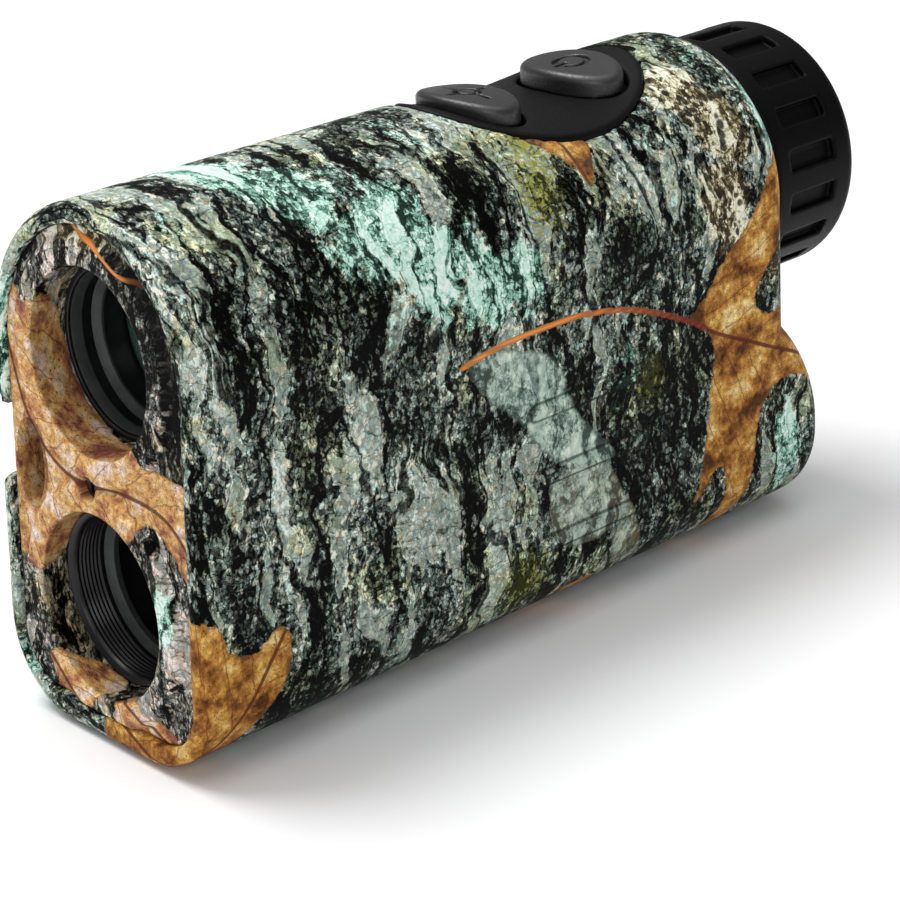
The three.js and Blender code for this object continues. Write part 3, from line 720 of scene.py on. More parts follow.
# Each leaf: its outline and its midrib on the film, and its colour from tan (0) to pale green (1).
LEAVES = [
    # low on the right front corner, wrapping round the rim
    blade([(-9, 21), (-3, 20.6), (0, 20), (1.2, 18.4), (2, 16), (4, 14.9), (6, 15), (7.6, 16.2),
           (9.2, 16.6), (10.3, 15), (9.9, 11.6), (8.2, 8.4), (5.8, 5.2), (3.6, 1), (1.8, -4), (0.9, -9),
           (-0.4, -14), (-1.4, -17.6), (-9, -18)],
          [(-7, -12), (-3, -3), (1, 4), (5, 10), (9.4, 15.6)]),
    # across the right rear, over the battery block, with a long bare stem
    blade([(75, 33.4), (78, 35.4), (81, 38.8), (84.6, 41.6), (88, 45), (91, 49), (94.5, 51), (95, 44),
           (92.6, 39.6), (89.6, 36.4), (87.2, 33.2), (88.4, 30.8), (91.4, 30.2), (94.6, 32), (103, 31),
           (104, 18.5), (100.5, 17.4), (97, 19.6), (93.4, 20.6), (90.4, 20), (88, 17.4), (86.8, 13),
           (86.2, 8), (84.8, 3.6), (82, -0.6), (78.6, -4.4), (76, -6), (78.6, 0), (80.8, 4), (81.4, 8),
           (80.6, 12), (78.4, 11.2), (75.4, 8), (76.8, 13), (77.9, 18), (78.6, 23), (79.4, 27),
           (78.6, 30.6), (76.6, 32.4)],
          [(67.6, 36.6), (74.6, 33.4), (80, 30.2), (86, 27.4), (93, 24.2), (103, 20.5)]),
    # pale blade under the long stem
    blade([(38.4, 38.6), (42, 39.4), (47, 37.6), (51, 36.2), (53.4, 33.4), (54.4, 29.6), (57, 25.6),
           (60.6, 21.6), (61, 19.6), (57, 19.8), (52.6, 21.4), (49.4, 24.4), (46.4, 28.4), (42.6, 32),
           (39.6, 35.4)],
          [(39, 38), (46, 33), (52, 27), (60, 20)], 1),
    # its lower end, behind the ribs
    blade([(51.4, 20.6), (55, 21), (59.6, 19.8), (61, 15), (60.2, 10.8), (56.6, 10), (51.8, 11.4),
           (50.2, 15.6)],
          [(56, 21), (55.6, 10)], 0.9),
    # a small blade beside it
    blade([(59.6, 20.4), (61.6, 17), (64, 12.6), (66, 8), (66.8, 4.4), (64.8, 2.6), (62, 4.4), (60.6, 9),
           (59.4, 14)],
          [(59.8, 20), (62.4, 12), (65.4, 3)], 0.85),
    # a tan point under the keypad
    blade([(55.4, 62.4), (59, 62.2), (62.6, 61.2), (64, 58.8), (63.4, 56.2), (61.6, 53.6), (60.4, 56.2),
           (58.2, 59.2)],
          [(60, 63), (61.6, 53)], 0.05),
    # a tan sliver along the lower edge
    blade([(47, -4), (52, 1.4), (57, 3.2), (60.4, 2.4), (58, -1), (52, -6)],
          [(47, -4), (60, 2.4)]),
    oak_leaf((9, 98), (41, 118), 9.5, 4),
    oak_leaf((71, 135), (89, 106), 8.5, 4),
    oak_leaf((64, 111), (42, 97), 6.5, 3, 0.9),
    oak_leaf((80, 90), (96, 80), 6, 3, 0.1),
    # front plate, between the apertures and down the left edge
    blade([(-220, 50.5), (-212, 50.2), (-208.5, 50.8), (-206.6, 47.5), (-205, 43), (-201.5, 40.2),
           (-197, 39), (-193.5, 38.4), (-190.5, 36.2), (-186.6, 35.4), (-182, 33.6), (-181, 22),
           (-184.6, 24.4), (-187.6, 27.6), (-191, 29), (-193.6, 26.4), (-197.4, 23.6), (-202, 22.4),
           (-205.6, 20.6), (-209.6, 18.4), (-214.6, 18.6), (-220, 22)],
          [(-217, 46), (-213, 36), (-206, 31), (-197, 31.4), (-188, 30.6), (-182, 26)], 0.02),
    # front plate, low left and low right
    blade([(-209.4, 9), (-206, 9.6), (-202, 10.6), (-199.6, 9), (-200.4, 6.4), (-204.6, 2), (-209, 3),
           (-211, 6.4)],
          [(-210, 8), (-204, 3)], 0.02),
    blade([(-196.4, 8.4), (-192, 6.6), (-187.4, 4.6), (-189, 1.6), (-196, 2), (-198, 5)],
          [(-197, 7), (-188, 3)], 0.02),
]

# Bare stems: half their width and their line on the film.
STEMS = [
    (0.4, [(37.6, 38.2), (44.6, 39.2), (54.2, 39.3), (60.9, 38.5), (67.6, 36.6), (74.6, 33.4), (78, 31.4)]),
    (0.24, [(-202.7, 60.7), (-201, 59.8), (-198.2, 59.2), (-196, 58.1), (-193.7, 56.9), (-191, 56.4),
            (-189.4, 56)]),
    (0.4, [(2, 92), (6, 95.6), (10, 99)]),
    (0.4, [(66, 142), (72, 134)]),
]

# Patches on the film that sway the bark's colour: centre, reach each way and, where there is one, the
# tilt in degrees.
MINT = [(17, 73, 4.4, 7.5, 35), (24, 64.5, 4.8, 6, 30), (30.5, 57, 6, 5, 30), (37, 51, 6, 5, 40),
        (42.5, 47, 4.8, 4.8, 20), (93.2, 11.5, 2.8, 5.5, 10), (94, 55, 3.5, 9), (-188, 19, 2, 4),
        (-3, -19, 4, 5), (-1, 146, 3, 5), (-1, 103, 2.5, 9), (48, 47, 4, 5), (14, 120, 6, 8, 20),
        (60, 128, 7, 6), (90, 96, 5, 7)]
CREAM = [(81, 63, 4.5, 4.5), (85, 56, 4.5, 6, 20), (82.5, 46, 4.2, 7, 10), (91, 39.5, 1.8, 5),
         (70, 106, 5, 6), (30, 90, 4, 5), (-200, 62, 16, 4)]
# Of the DARK patches, (-184.7, 44) and (-188, 54.5) on the front plate, beside and above the upper aperture
# ring, are painted shade in the groove there; the others darken the print.
DARK = [(66, 45, 5, 4.5, 10), (21, 60, 2, 12, -14), (15, 44, 1.8, 12), (26, 46, 2.2, 10, 8),
        (38, 21, 1.5, 10), (70, 22, 8, 12), (75, 8, 3.5, 4), (47, 60, 3.5, 8, -20), (6, 13, 3, 6),
        (13, 6, 4, 6), (33, 70, 8, 4), (-184.7, 44, 1.5, 9), (-188, 54.5, 2.6, 2.4, 35), (55, 88, 8, 5),
        (24, 134, 5, 8)]
MOSS = [(54, 55, 4, 6), (57, 62, 5, 4), (68, 28, 3, 4), (46, 8, 5, 6), (35, 110, 5, 8)]
# Of the PALE patches, (4, 84) over the top and (-0.5, 118) down the front left edge are painted highlight;
# the others lighten the print.
PALE = [(4, 84, 8, 12), (-0.5, 118, 4, 34), (30, 73, 12, 6, -10), (13, 79, 8, 8), (44, 66, 5, 5),
        (1, 62, 3, 12), (2, 51, 2.4, 14), (29, 26, 2.6, 7, 4), (40, 12, 3, 8), (22, 30, 2.2, 9),
        (36, 33, 2.4, 8), (62, 70, 5, 5), (96, 48, 4, 10), (11, 30, 2, 9), (-188.5, 15, 3.4, 6),
        (70, 52, 4, 4), (50, 68, 4, 5), (18, 108, 4, 10), (56, 92, 4, 8), (-207, 58, 3, 4)]


def patch_field(film, patches):
    field = np.zeros(len(film))
    for along, up, reach_along, reach_up, *tilt in patches:
        angle = math.radians(tilt[0]) if tilt else 0
        da, du = film[:, 0] - along, film[:, 1] - up
        a = (da * math.cos(angle) + du * math.sin(angle)) / reach_along
        u = (du * math.cos(angle) - da * math.sin(angle)) / reach_up
        field = np.maximum(field, np.exp(-(a * a + u * u)))
    return field


def leaf_fields(film):
    """For each point: how far inside the nearest leaf it is, its place beside and along that leaf's
    midrib, and that leaf's colour."""
    inside = np.full(len(film), -4.0)
    beside = np.full(len(film), 9.0)
    along = np.zeros(len(film))
    colour = np.zeros(len(film))
    for each in LEAVES:
        outline = curve_through(each["outline"], True)
        midrib = curve_through(each["midrib"], False)
        reach = np.vstack([outline, midrib])
        near = np.all((film > reach.min(0) - 4) & (film < reach.max(0) + 4), 1)
        if not near.any():
            continue
        local = film[near]
        depth = outline_distance(local, outline)
        side, place_along = beside_curve(local, midrib)
        wins = (depth > inside[near]) & (depth > -3)
        chosen = np.flatnonzero(near)[wins]
        inside[chosen] = depth[wins]
        beside[chosen] = side[wins]
        along[chosen] = place_along[wins]
        colour[chosen] = each["colour"]
    return np.stack([inside, beside, along], 1), colour


def stem_field(film):
    """Each point's distance from the nearest bare stem, in half-widths of that stem."""
    nearest = np.full(len(film), 8.0)
    for half_width, line in STEMS:
        curve = curve_through(line, False)
        near = np.all((film > curve.min(0) - 3) & (film < curve.max(0) + 3), 1)
        side, along = beside_curve(film[near], curve)
        length = np.linalg.norm(np.diff(curve, axis=0), axis=1).sum()
        beyond = np.maximum(np.maximum(-along, along - length), 0)
        nearest[near] = np.minimum(nearest[near], np.hypot(side, beyond) / half_width)
    return nearest


def painted_groove_shade(film):
    """How much painted shade each point gets in the groove round the right of the upper aperture ring."""
    x, up = film[:, 0] - PLATE_FILM, film[:, 1] - OBJECTIVE_Z
    radius = np.maximum(np.hypot(x, up), 1e-6)
    across = np.clip(1.7 - 1.6 * np.abs(radius - OBJECTIVE_HOLE - RING_WIDTH - 0.25), 0, 1)
    return across * np.clip(2.2 * x / radius - 0.4, 0, 1) * np.clip(1 + 2 * up / radius, 0, 1)


def store(mesh, name, values):
    attribute = mesh.attributes.new(name, "FLOAT_VECTOR", "POINT")
    attribute.data.foreach_set("vector", np.asarray(values, np.float32).ravel())


def wrap_film(made, film_and_depth):
    """Give each point of a mesh its place on the film and all that is printed there."""
    film = film_and_depth[:, :2]
    mint, cream, dark, moss, pale = (patch_field(film, p) for p in (MINT, CREAM, DARK, MOSS, PALE))
    leaf, leaf_colour = leaf_fields(film)
    to_rib = rib_outline(film[:, 0], np.minimum(film[:, 1], 2 * FILM_TOP - film[:, 1]))
    store(made.data, "film", film_and_depth)
    store(made.data, "leaf", leaf)
    store(made.data, "patches", np.stack([mint, cream, dark], 1))
    store(made.data, "more_patches", np.stack([moss, pale, leaf_colour], 1))
    store(made.data, "lines", np.stack([stem_field(film), np.clip(to_rib, -1, 2), painted_groove_shade(film)], 1))


# ---------------------------------------------------------------- print material
def on_plate(n, film):
    """1 on the front plate's own piece of film, 0 on the housing's."""
    return n.step(n.parts(film)[0], PLATE_FILM + 50, PLATE_FILM + 49)


def bark_layer(n, film, patches, moss_patch, pale_patch):
    """Cracked bark with lichen and moss. Returns its colour and how light it is before colouring."""
    mint_patch, cream_patch, dark_patch = patches
    loose = n.warped(film, 0.11, 7)
    upright = n.scaled(n.warped(loose, 0.7, 1.2), (1, 0.24, 1))
    grains = n.scaled(n.warped(film, 1.3, 0.7), (1, 0.72, 1))

    # smooth long plates between rough bark, chunks, gravel, then the cracks
    plates = n.noise(upright, 0.30, detail=3)
    swayed = n.minus(plates, n.times(dark_patch, 0.16))
    swayed = n.total(swayed, n.times(pale_patch, 0.10))
    smooth_plate = n.step(swayed, 0.525, 0.56)
    base = n.step(swayed, 0.38, 0.60, 0.34, 0.74)
    brink = n.step(n.apart(swayed, 0.525), 0.016, 0.002)
    chunks = n.parts(n.cells(n.scaled(grains, (1, 0.6, 1)), 1.0)["Color"])[0]
    pebbles = n.parts(n.cells(grains, 2.3)["Color"])[0]
    joints = n.cells(grains, 2.3, "DISTANCE_TO_EDGE")["Distance"]
    crumble = n.noise(grains, 1.1, detail=5, roughness=0.75)

    gravel = n.times(n.minus(pebbles, 0.45), 0.62)
    gravel = n.total(gravel, n.times(n.minus(chunks, 0.5), 0.30))
    gravel = n.minus(gravel, n.step(joints, 0.11, 0.0, 0, 0.34))
    gravel = n.total(gravel, n.times(n.minus(crumble, 0.5), 1.6))
    gravel = n.times(gravel, n.minus(1.0, n.times(smooth_plate, 0.6)))
    light = n.minus(n.total(base, gravel), n.times(brink, 0.26))
    lit_edge = n.step(n.apart(swayed, 0.556), 0.014, 0.002)
    light = n.total(light, n.times(lit_edge, n.step(crumble, 0.42, 0.58, 0, 0.30)))
    ridge = n.apart(n.noise(n.plus(upright, (37, 11, 0)), 0.17, detail=5), 0.5)
    fissure = n.step(ridge, 0.034, 0.010)
    ledge = n.apart(n.noise(n.scaled(loose, (0.5, 1, 1)), 0.42, detail=4), 0.5)
    crack = n.step(ledge, 0.016, 0.004)
    light = n.minus(light, n.times(fissure, 0.50))
    light = n.minus(light, n.times(crack, 0.25))
    # Dark and pale patches darken and lighten the bark; a few of them are painted shade and painted
    # highlight, as noted at DARK and PALE.
    light = n.minus(light, n.times(dark_patch, 0.18))
    light = n.total(light, n.times(pale_patch, 0.14))
    colour = n.ramp(light, [
        (0.0, grey(0.001)), (0.18, (0.007, 0.008, 0.007)), (0.40, (0.060, 0.074, 0.064)),
        (0.60, (0.18, 0.22, 0.19)), (0.80, (0.38, 0.44, 0.39)), (1.0, (0.80, 0.83, 0.74))])
    hue = n.noise(film, 0.8, detail=5, roughness=0.8)
    tint = n.ramp(hue, [
        (0.34, (0.80, 1.10, 1.16)), (0.5, grey(1)), (0.60, (1.16, 1.0, 0.82)), (0.7, (1.35, 0.98, 0.6))])
    colour = n.dyed(colour, tint, 0.9)
    olive = n.step(n.noise(film, 0.09, detail=3), 0.5, 0.62)
    colour = n.mix(n.times(olive, 0.5), colour, n.dyed(colour, (1.15, 1.06, 0.62)))

    rosy = n.dyed(colour, (1.22, 0.95, 0.98))
    colour = n.mix(n.times(on_plate(n, film), 0.8), colour, rosy)

    # lichen keeps the bark's light and dark grains
    crust = n.noise(loose, 0.55, detail=7, roughness=0.75)
    stray = n.times(n.minus(n.noise(upright, 0.2, detail=2), 0.5), 0.8)
    mint = n.step(n.total(n.total(n.times(mint_patch, 0.52), crust), stray), 0.67, 0.75)
    mint_light = n.total(light, 0.12)
    mint_colour = n.ramp(mint_light, [
        (0.08, (0.015, 0.03, 0.025)), (0.30, (0.12, 0.25, 0.19)), (0.50, (0.32, 0.58, 0.46)),
        (0.78, (0.58, 0.84, 0.73)), (1.0, (0.86, 0.95, 0.88))])
    colour = n.mix(mint, colour, mint_colour)
    cream = n.step(n.total(n.times(cream_patch, 0.5), crust), 0.68, 0.76)
    cream_colour = n.ramp(light, [
        (0.1, (0.05, 0.035, 0.02)), (0.3, (0.24, 0.21, 0.11)), (0.5, (0.55, 0.52, 0.33)),
        (0.75, (0.84, 0.83, 0.68))])
    pits = n.step(n.cells(loose, 0.62)["Distance"], 0.44, 0.30)
    cream_colour = n.mix(n.times(pits, 0.92), cream_colour, (0.02, 0.018, 0.012))
    colour = n.mix(cream, colour, cream_colour)

    moss_grain = n.noise(loose, 1.7, detail=5, roughness=0.75)
    moss = n.step(n.total(n.times(moss_patch, 0.20), moss_grain), 0.61, 0.67)
    moss_colour = n.mix(n.step(light, 0.3, 0.7), (0.035, 0.038, 0.008), (0.30, 0.31, 0.06))
    return n.mix(moss, colour, moss_colour), light


def leaf_layer(n, film, leaf, paleness, to_stem, bark_light):
    """Dead oak leaves on the bark. Returns their colour and how much each shows."""
    inside, beside, along = leaf
    ragged = n.times(n.minus(n.noise(film, 0.9, detail=4), 0.5), 1.3)
    depth = n.total(inside, ragged)
    shows = n.step(depth, -0.05, 0.10)

    broad = n.noise(film, 0.2, detail=4, roughness=0.65)
    colour = n.ramp(broad, [
        (0.37, (0.09, 0.035, 0.010)), (0.44, (0.27, 0.105, 0.022)), (0.50, (0.46, 0.21, 0.045)),
        (0.56, (0.64, 0.36, 0.085)), (0.64, (0.80, 0.60, 0.26))])
    blush = n.ramp(n.noise(film, 0.28, detail=4, roughness=0.65), [
        (0.37, (0.30, 0.10, 0.08)), (0.44, (0.60, 0.28, 0.13)), (0.50, (0.79, 0.46, 0.15)),
        (0.55, (0.86, 0.60, 0.33)), (0.63, (0.92, 0.74, 0.66))])
    colour = n.mix(n.times(on_plate(n, film), 0.9), colour, blush)
    mottle = n.ramp(n.noise(film, 1.3, detail=6, roughness=0.75), [
        (0.34, (0.22, 0.16, 0.13)), (0.44, (0.70, 0.66, 0.62)), (0.54, grey(1.08)),
        (0.66, (1.6, 1.65, 1.6))])
    colour = n.dyed(colour, mottle, 0.75)
    specks = n.step(n.noise(film, 2.6, detail=3), 0.60, 0.66)
    colour = n.mix(n.times(specks, 0.8), colour, (0.05, 0.018, 0.008))

    across = n.math("ABSOLUTE", beside)
    branch = n.minus(along, n.times(across, 1.15))
    branch = n.total(branch, n.times(n.noise(film, 0.35, detail=2), 2.2))
    spacing = n.math("PINGPONG", branch, 2.6)
    side_vein = n.step(spacing, 0.22, 0.06)
    net_vein = n.step(n.cells(film, 0.8, "DISTANCE_TO_EDGE")["Distance"], 0.06, 0.0)
    rib = n.step(across, 0.36, 0.16)
    veins = n.math("MAXIMUM", n.times(side_vein, 0.6), n.times(net_vein, 0.28))
    veins = n.math("MAXIMUM", veins, n.times(rib, 0.9))
    colour = n.mix(veins, colour, (0.11, 0.022, 0.014))
    rim = n.step(depth, 0.45, 0.05)
    colour = n.mix(n.times(rim, 0.5), colour, (0.12, 0.06, 0.03))

    faded = n.total(n.times(bark_light, 0.42), n.times(n.noise(film, 0.5, detail=4), 0.76))
    pale = n.ramp(faded, [
        (0.32, (0.05, 0.072, 0.058)), (0.48, (0.19, 0.27, 0.225)), (0.66, (0.42, 0.54, 0.46)),
        (0.9, (0.76, 0.82, 0.68))])
    pale = n.mix(n.times(n.step(depth, 0.6, 0.0), 0.7), pale, (0.02, 0.025, 0.02))
    colour = n.mix(paleness, colour, pale)

    bare_stem = n.step(n.total(to_stem, n.times(ragged, 0.3)), 1.15, 0.8)
    along_stem = n.step(n.parts(film)[0], 50, 76)
    stem_colour = n.mix(along_stem, (0.52, 0.19, 0.05), (0.17, 0.028, 0.018))
    lit = n.dyed(stem_colour, (1.6, 1.5, 1.4))
    stem_colour = n.mix(n.step(to_stem, 0.3, 0.7), lit, stem_colour)
    colour = n.mix(bare_stem, colour, stem_colour)
    return colour, n.math("MAXIMUM", shows, bare_stem)


def print_material():
    n = Nodes("bark_and_leaf_print")
    film = n.attribute("film")
    wall_depth = n.parts(film)[2]
    moss, pale, paleness = n.parts(n.attribute("more_patches"))
    to_stem, to_rib, groove_shade = n.parts(n.attribute("lines"))
    bark, light = bark_layer(n, film, n.parts(n.attribute("patches")), moss, pale)
    leaf, shows = leaf_layer(n, film, n.parts(n.attribute("leaf")), paleness, to_stem, light)
    colour = n.mix(shows, bark, leaf)
    # Painted shade: thin dark lines along both edges of the grip ribs, where they rise from the housing.
    rib_edge_shade = n.step(n.apart(to_rib, 0.15), 0.30, 0.05, 0, 0.72)
    colour = n.mix(rib_edge_shade, colour, (0.008, 0.009, 0.008))
    # Painted shade: the groove round the right and top of the upper aperture ring is darkened towards
    # black.
    colour = n.mix(n.times(groove_shade, 0.85), colour, grey(0.008))
    # Painted shade: the print darkens with depth down the walls of the front plate's openings and cord
    # eyelet.
    deep = n.step(wall_depth, 0.05, 0.4, 0, 0.8)
    colour = n.mix(deep, colour, n.dyed(colour, (0.45, 0.42, 0.36)))
    colour = n.mix(n.step(wall_depth, -0.3, -0.7), colour, grey(0.006))
    grain = n.noise(n.object_mm(), 4, detail=3)
    n.surface(colour, n.step(grain, 0.3, 0.7, 0.40, 0.52), n.bump(grain, 0.00003), Specular_IOR_Level=0.04)
    return n.material


# ---------------------------------------------------------------- other materials
def moulded(name, dark, light, roughness, grain_size=0.35, relief=0.00004, gloss_level=0.3):
    """Moulded rubber or plastic: fine pitted grain, slow changes of tone, a little dust."""
    n = Nodes(name)
    place = n.object_mm()
    grain = n.noise(place, 1 / grain_size, detail=4, roughness=0.6)
    slow = n.noise(place, 0.07, detail=3)
    dust = n.step(n.noise(place, 1.3, detail=6, roughness=0.8), 0.66, 0.74)
    colour = n.mix(slow, dark, light)
    colour = n.mix(n.times(dust, 0.05), colour, grey(0.2))
    broad_gloss = n.step(slow, 0.35, 0.65, roughness, roughness + 0.06)
    gloss = n.total(n.step(grain, 0.3, 0.7, -0.06, 0.06), broad_gloss)
    n.surface(colour, gloss, n.bump(grain, relief), Specular_IOR_Level=gloss_level)
    return n.material


def turned_metal(name, dark, light, roughness, metallic, axis_z):
    """Lathe-turned metal: fine rings around an axis parallel to Y."""
    n = Nodes(name)
    place = n.object_mm()
    x, y, z = n.parts(place)
    up = n.minus(z, axis_z)
    radius = n.math("SQRT", n.total(n.times(x, x), n.times(up, up)))
    turn = n.total(n.times(radius, 9), n.times(y, 9))
    inputs = {"W": turn, "Scale": 1.0, "Detail": 2.0}
    rings = n.add("ShaderNodeTexNoise", inputs, noise_dimensions="1D").outputs[0]
    spots = n.noise(place, 0.8, detail=4)
    colour = n.mix(n.step(spots, 0.3, 0.7), dark, light)
    gloss = n.step(rings, 0.3, 0.7, roughness - 0.06, roughness + 0.08)
    n.surface(colour, gloss, n.bump(rings, 0.00002, 0.6), Metallic=metallic)
    return n.material


def coated_glass(name, deep, painted_glint):
    n = Nodes(name)
    # Painted reflection and glow: the colour turns to the glint colour towards grazing edges and in hazy
    # patches, and a weak emission of it lights the lens from within.
    edge = n.add("ShaderNodeLayerWeight", {"Blend": 0.35}).outputs[1]
    haze = n.noise(n.object_mm(), 0.25, detail=3)
    colour = n.mix(edge, deep, painted_glint)
    colour = n.mix(n.times(n.step(haze, 0.45, 0.65), 0.3), colour, painted_glint)
    n.surface(colour, n.step(haze, 0.3, 0.7, 0.02, 0.05), Coat_Weight=0.6, Coat_Roughness=0.02, IOR=1.6,
              Emission_Color=(*painted_glint, 1), Emission_Strength=0.16)
    return n.material


def clear_glass():
    n = Nodes("optical_glass")
    haze = n.noise(n.object_mm(), 0.3, detail=3)
    colour = n.mix(haze, (0.86, 0.93, 0.91), (0.93, 0.97, 0.96))
    n.surface(colour, n.step(haze, 0.3, 0.7, 0.01, 0.04), Transmission_Weight=0.9, IOR=1.52)
    return n.material


def plain_metal(name, dark, light, roughness):
    """Stamped or turned bright metal with fine scratches."""
    n = Nodes(name)
    place = n.object_mm()
    scratches = n.noise(n.scaled(place, (1, 12, 1)), 1.5, detail=4)
    tarnish = n.noise(place, 0.6, detail=4)
    gloss = n.step(scratches, 0.3, 0.7, roughness - 0.08, roughness + 0.1)
    n.surface(n.mix(tarnish, dark, light), gloss, n.bump(scratches, 0.00001), Metallic=1.0)
    return n.material


def circuit_board():
    n = Nodes("circuit_board")
    place = n.object_mm()
    tracks = n.cells(place, 0.55, "DISTANCE_TO_EDGE")["Distance"]
    pads = n.step(n.cells(place, 0.4)["Distance"], 0.2, 0.17)
    colour = n.mix(n.step(tracks, 0.05, 0.08), (0.06, 0.20, 0.09), (0.015, 0.09, 0.035))
    colour = n.mix(pads, colour, (0.60, 0.46, 0.20))
    n.surface(colour, n.minus(0.5, n.times(pads, 0.1)), n.bump(tracks, 0.00002))
    return n.material


def film_jacket(name, colour_one, colour_two):
    """A printed plastic sleeve in two bands around an axis along Y."""
    n = Nodes(name)
    place = n.object_mm()
    band = n.step(n.math("SINE", n.times(n.parts(place)[1], 0.24)), -0.02, 0.02)
    scuff = n.noise(place, 1.5, detail=4)
    colour = n.mix(band, colour_one, colour_two)
    colour = n.mix(n.step(scuff, 0.55, 0.75, 0, 0.3), colour, grey(0.5))
    n.surface(colour, n.step(scuff, 0.3, 0.7, 0.28, 0.42))
    return n.material


def make_looks():
    anodised = {}
    for i, axis_z in enumerate((OBJECTIVE_Z, EMITTER_Z, EYE_Z)):
        anodised[axis_z] = turned_metal(
            f"black_anodised_{i}", (0.004, 0.004, 0.005), (0.008, 0.008, 0.009), 0.34, 0.3, axis_z)
    looks = {
        "print": print_material(),
        "print_grey": moulded("print_backing", (0.16, 0.14, 0.11), (0.34, 0.31, 0.26), 0.5, 0.8),
        "rubber": moulded("black_rubber", grey(0.001), grey(0.004), 0.42, gloss_level=0.12),
        "keys": moulded("key_rubber", grey(0.010), grey(0.015), 0.38, gloss_level=0.75),
        "grip": moulded("grip_rubber", grey(0.001), grey(0.003), 0.40, 0.25, gloss_level=0.07),
        "plastic": moulded("black_plastic", (0.014, 0.014, 0.015), (0.022, 0.022, 0.023), 0.40, 0.5),
        "satin": turned_metal(
            "satin_ring", (0.036, 0.039, 0.040), (0.052, 0.055, 0.056), 0.40, 0.3, OBJECTIVE_Z),
        "green_lens": coated_glass("green_coated_lens", (0.012, 0.035, 0.028), (0.06, 0.11, 0.09)),
        "dark_lens": coated_glass("dark_coated_lens", (0.002, 0.002, 0.003), (0.012, 0.010, 0.02)),
        "clear": clear_glass(),
        "board": circuit_board(),
        "amber_film": moulded("amber_film", (0.42, 0.18, 0.03), (0.50, 0.24, 0.05), 0.30, 0.8),
        "steel": plain_metal("bright_steel", (0.42, 0.42, 0.43), (0.60, 0.60, 0.61), 0.32),
        "gold": plain_metal("gold_plate", (0.55, 0.38, 0.13), (0.72, 0.52, 0.22), 0.28),
        "jacket": film_jacket("cell_jacket", (0.03, 0.10, 0.20), (0.30, 0.31, 0.33)),
    }
    return looks, anodised


# ---------------------------------------------------------------- pieces
def make_shell(looks):
    housing, points = net_piece("main_housing", housing_distance, 0.6, "camo_housing", looks["print"])
    wrap_film(housing, housing_film(points))
    bezel, points = net_piece("front_bezel", bezel_distance, 0.28, "camo_front", looks["print"])
    wrap_film(bezel, plate_film(points))


def make_controls(looks):
    net_piece("keypad", keypad_distance, 0.3, "black_rubber", looks["rubber"])
    for key in KEY_Y:
        net_piece(key, key_distance(key), 0.2, "black_rubber", looks["keys"])
    net_piece("diopter_ring", ring_distance, 0.35, "grip_rubber", looks["grip"])
    net_piece("battery_cap", cap_distance, 0.3, "black_plastic", looks["plastic"])


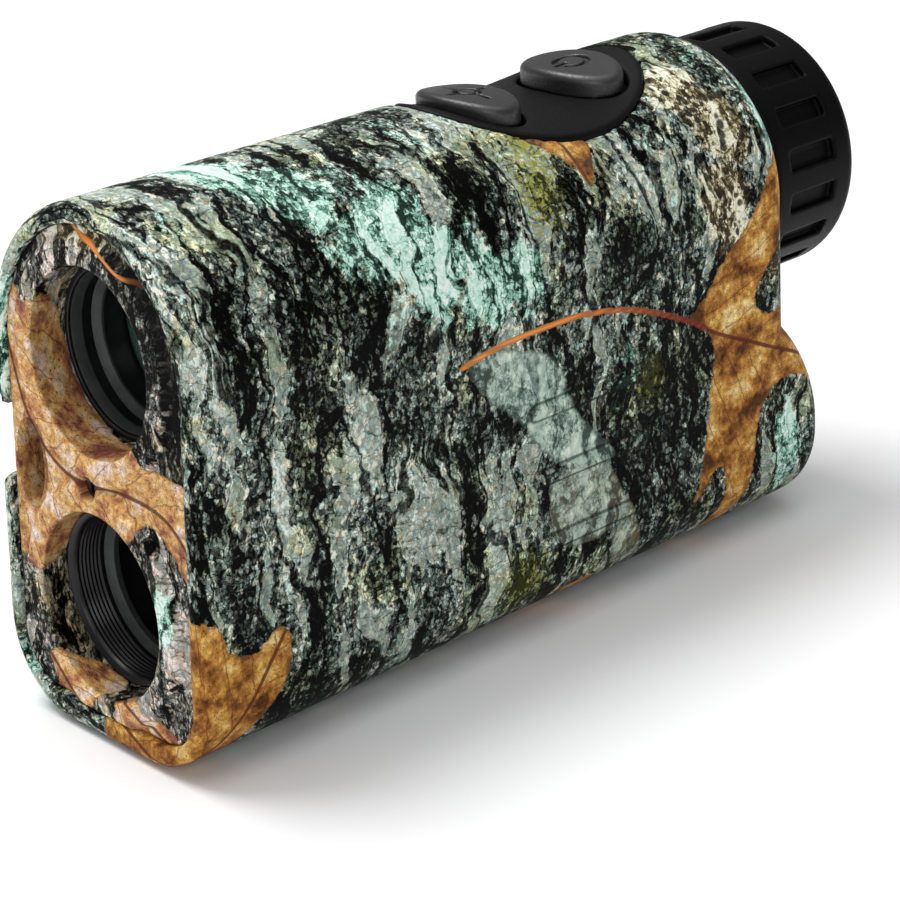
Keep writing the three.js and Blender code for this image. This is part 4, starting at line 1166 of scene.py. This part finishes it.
def make_optics(looks, anodised):
    lathe_piece("objective_cell", rounded_profile([
        (9.62, 4.5), (10.3, 4.5), (10.3, 6.2), (12.2, 6.4), (12.2, 40), (7.2, 40), (7.2, 17.4), (9.4, 17.4),
        (9.4, 6.3), (9.64, 6.3)], 0.2), OBJECTIVE_Z, "black_anodised", anodised[OBJECTIVE_Z])
    lathe_piece("objective_retainer", rounded_profile([
        (9.5, 4.85), (9.62, 4.95), (9.62, 6.25), (9.2, 6.25)], 0.08),
        OBJECTIVE_Z, "satin_ring", looks["satin"])
    lathe_piece("objective_inner_ring", rounded_profile([
        (9.36, 7.5), (9.36, 8.7), (8.5, 8.7), (8.5, 8.35)], 0.1),
        OBJECTIVE_Z, "satin_ring", looks["satin"])
    lathe_piece("objective_lens", dome(9.2, 11, 15.2, 1.2), OBJECTIVE_Z, "coated_lens", looks["green_lens"])

    threads = [(9.9 if i % 2 else 9.62, 2.1 + 0.26 * i) for i in range(13)]
    lathe_piece("emitter_barrel", rounded_profile([
        (9.9, 1.6), (10.5, 1.2), (10.35, 6.2), (12, 6.4), (12, 36), (6.4, 36), (6.4, 23.4), (9.3, 23.4),
        (9.3, 16.6), (9.8, 16.6), *reversed(threads)], 0.1, 2),
        EMITTER_Z, "black_anodised", anodised[EMITTER_Z])
    lathe_piece("emitter_retainer", rounded_profile([(8.6, 6.4), (9.7, 5.7), (9.7, 7.2), (8.6, 7.2)], 0.1),
                EMITTER_Z, "satin_ring", looks["satin"])
    lathe_piece("emitter_lens", dome(9.2, 14, 17.4, 1.0), EMITTER_Z, "coated_lens", looks["dark_lens"])
    lathe_piece("eye_lens", dome(9.2, 99, 103.6, 1.4), EYE_Z, "coated_lens", looks["green_lens"])
    lathe_piece("field_lens", dome(9.2, 92, 96.4, 1.2), EYE_Z, "clear_glass", looks["clear"])
    lathe_piece("eyecup", rounded_profile([
        (9.3, 107.3), (11.2, 107.3), (11.5, 108.2), (11.5, 110.3), (10.6, 110.3)], 0.4),
        EYE_Z, "black_rubber", looks["rubber"])


def dome(radius, y0, y1, bulge, steps=12):
    """A lens profile with two bulging faces."""
    radii = np.linspace(0, radius, steps)
    sag = bulge * (radii / radius) ** 2
    front = np.stack([radii, y0 + sag], 1)
    back = np.stack([radii, y1 - sag], 1)
    return np.vstack([front, back[::-1]])


def finish_cad_nodes(looks, anodised):
    """Every CAD node that still shows gets its material."""
    chosen = {
        "lanyard_anchor": looks["print_grey"], "bezel_screw": anodised[EMITTER_Z],
        "eyepiece_tube": anodised[EYE_Z], "lens_carrier": anodised[EYE_Z],
        "prism_block": looks["clear"], "display_glass": looks["clear"],
        "main_pcb": looks["board"], "key_pcb": looks["board"], "flex_cable": looks["amber_film"],
        "laser_diode": looks["gold"], "receiver_sensor": looks["gold"], "positive_contact": looks["gold"],
        "contact_spring": looks["gold"], "battery": looks["jacket"], "pulse_capacitor": looks["jacket"],
        "cap_seal": looks["rubber"], "eyepiece_gasket": looks["rubber"],
        "mode_switch": looks["steel"], "power_switch": looks["steel"],
    }
    chosen.update({f"chassis_screw_{i}": looks["steel"] for i in range(1, 5)})
    for name, node in frame["nodes"].items():
        if node.hide_render:
            continue
        node.data.materials.clear()
        node.data.materials.append(chosen.get(name, looks["plastic"]))


make_camera()
make_studio()
make_floor()
looks, anodised = make_looks()
make_shell(looks)
make_controls(looks)
make_optics(looks, anodised)
finish_cad_nodes(looks, anodised)
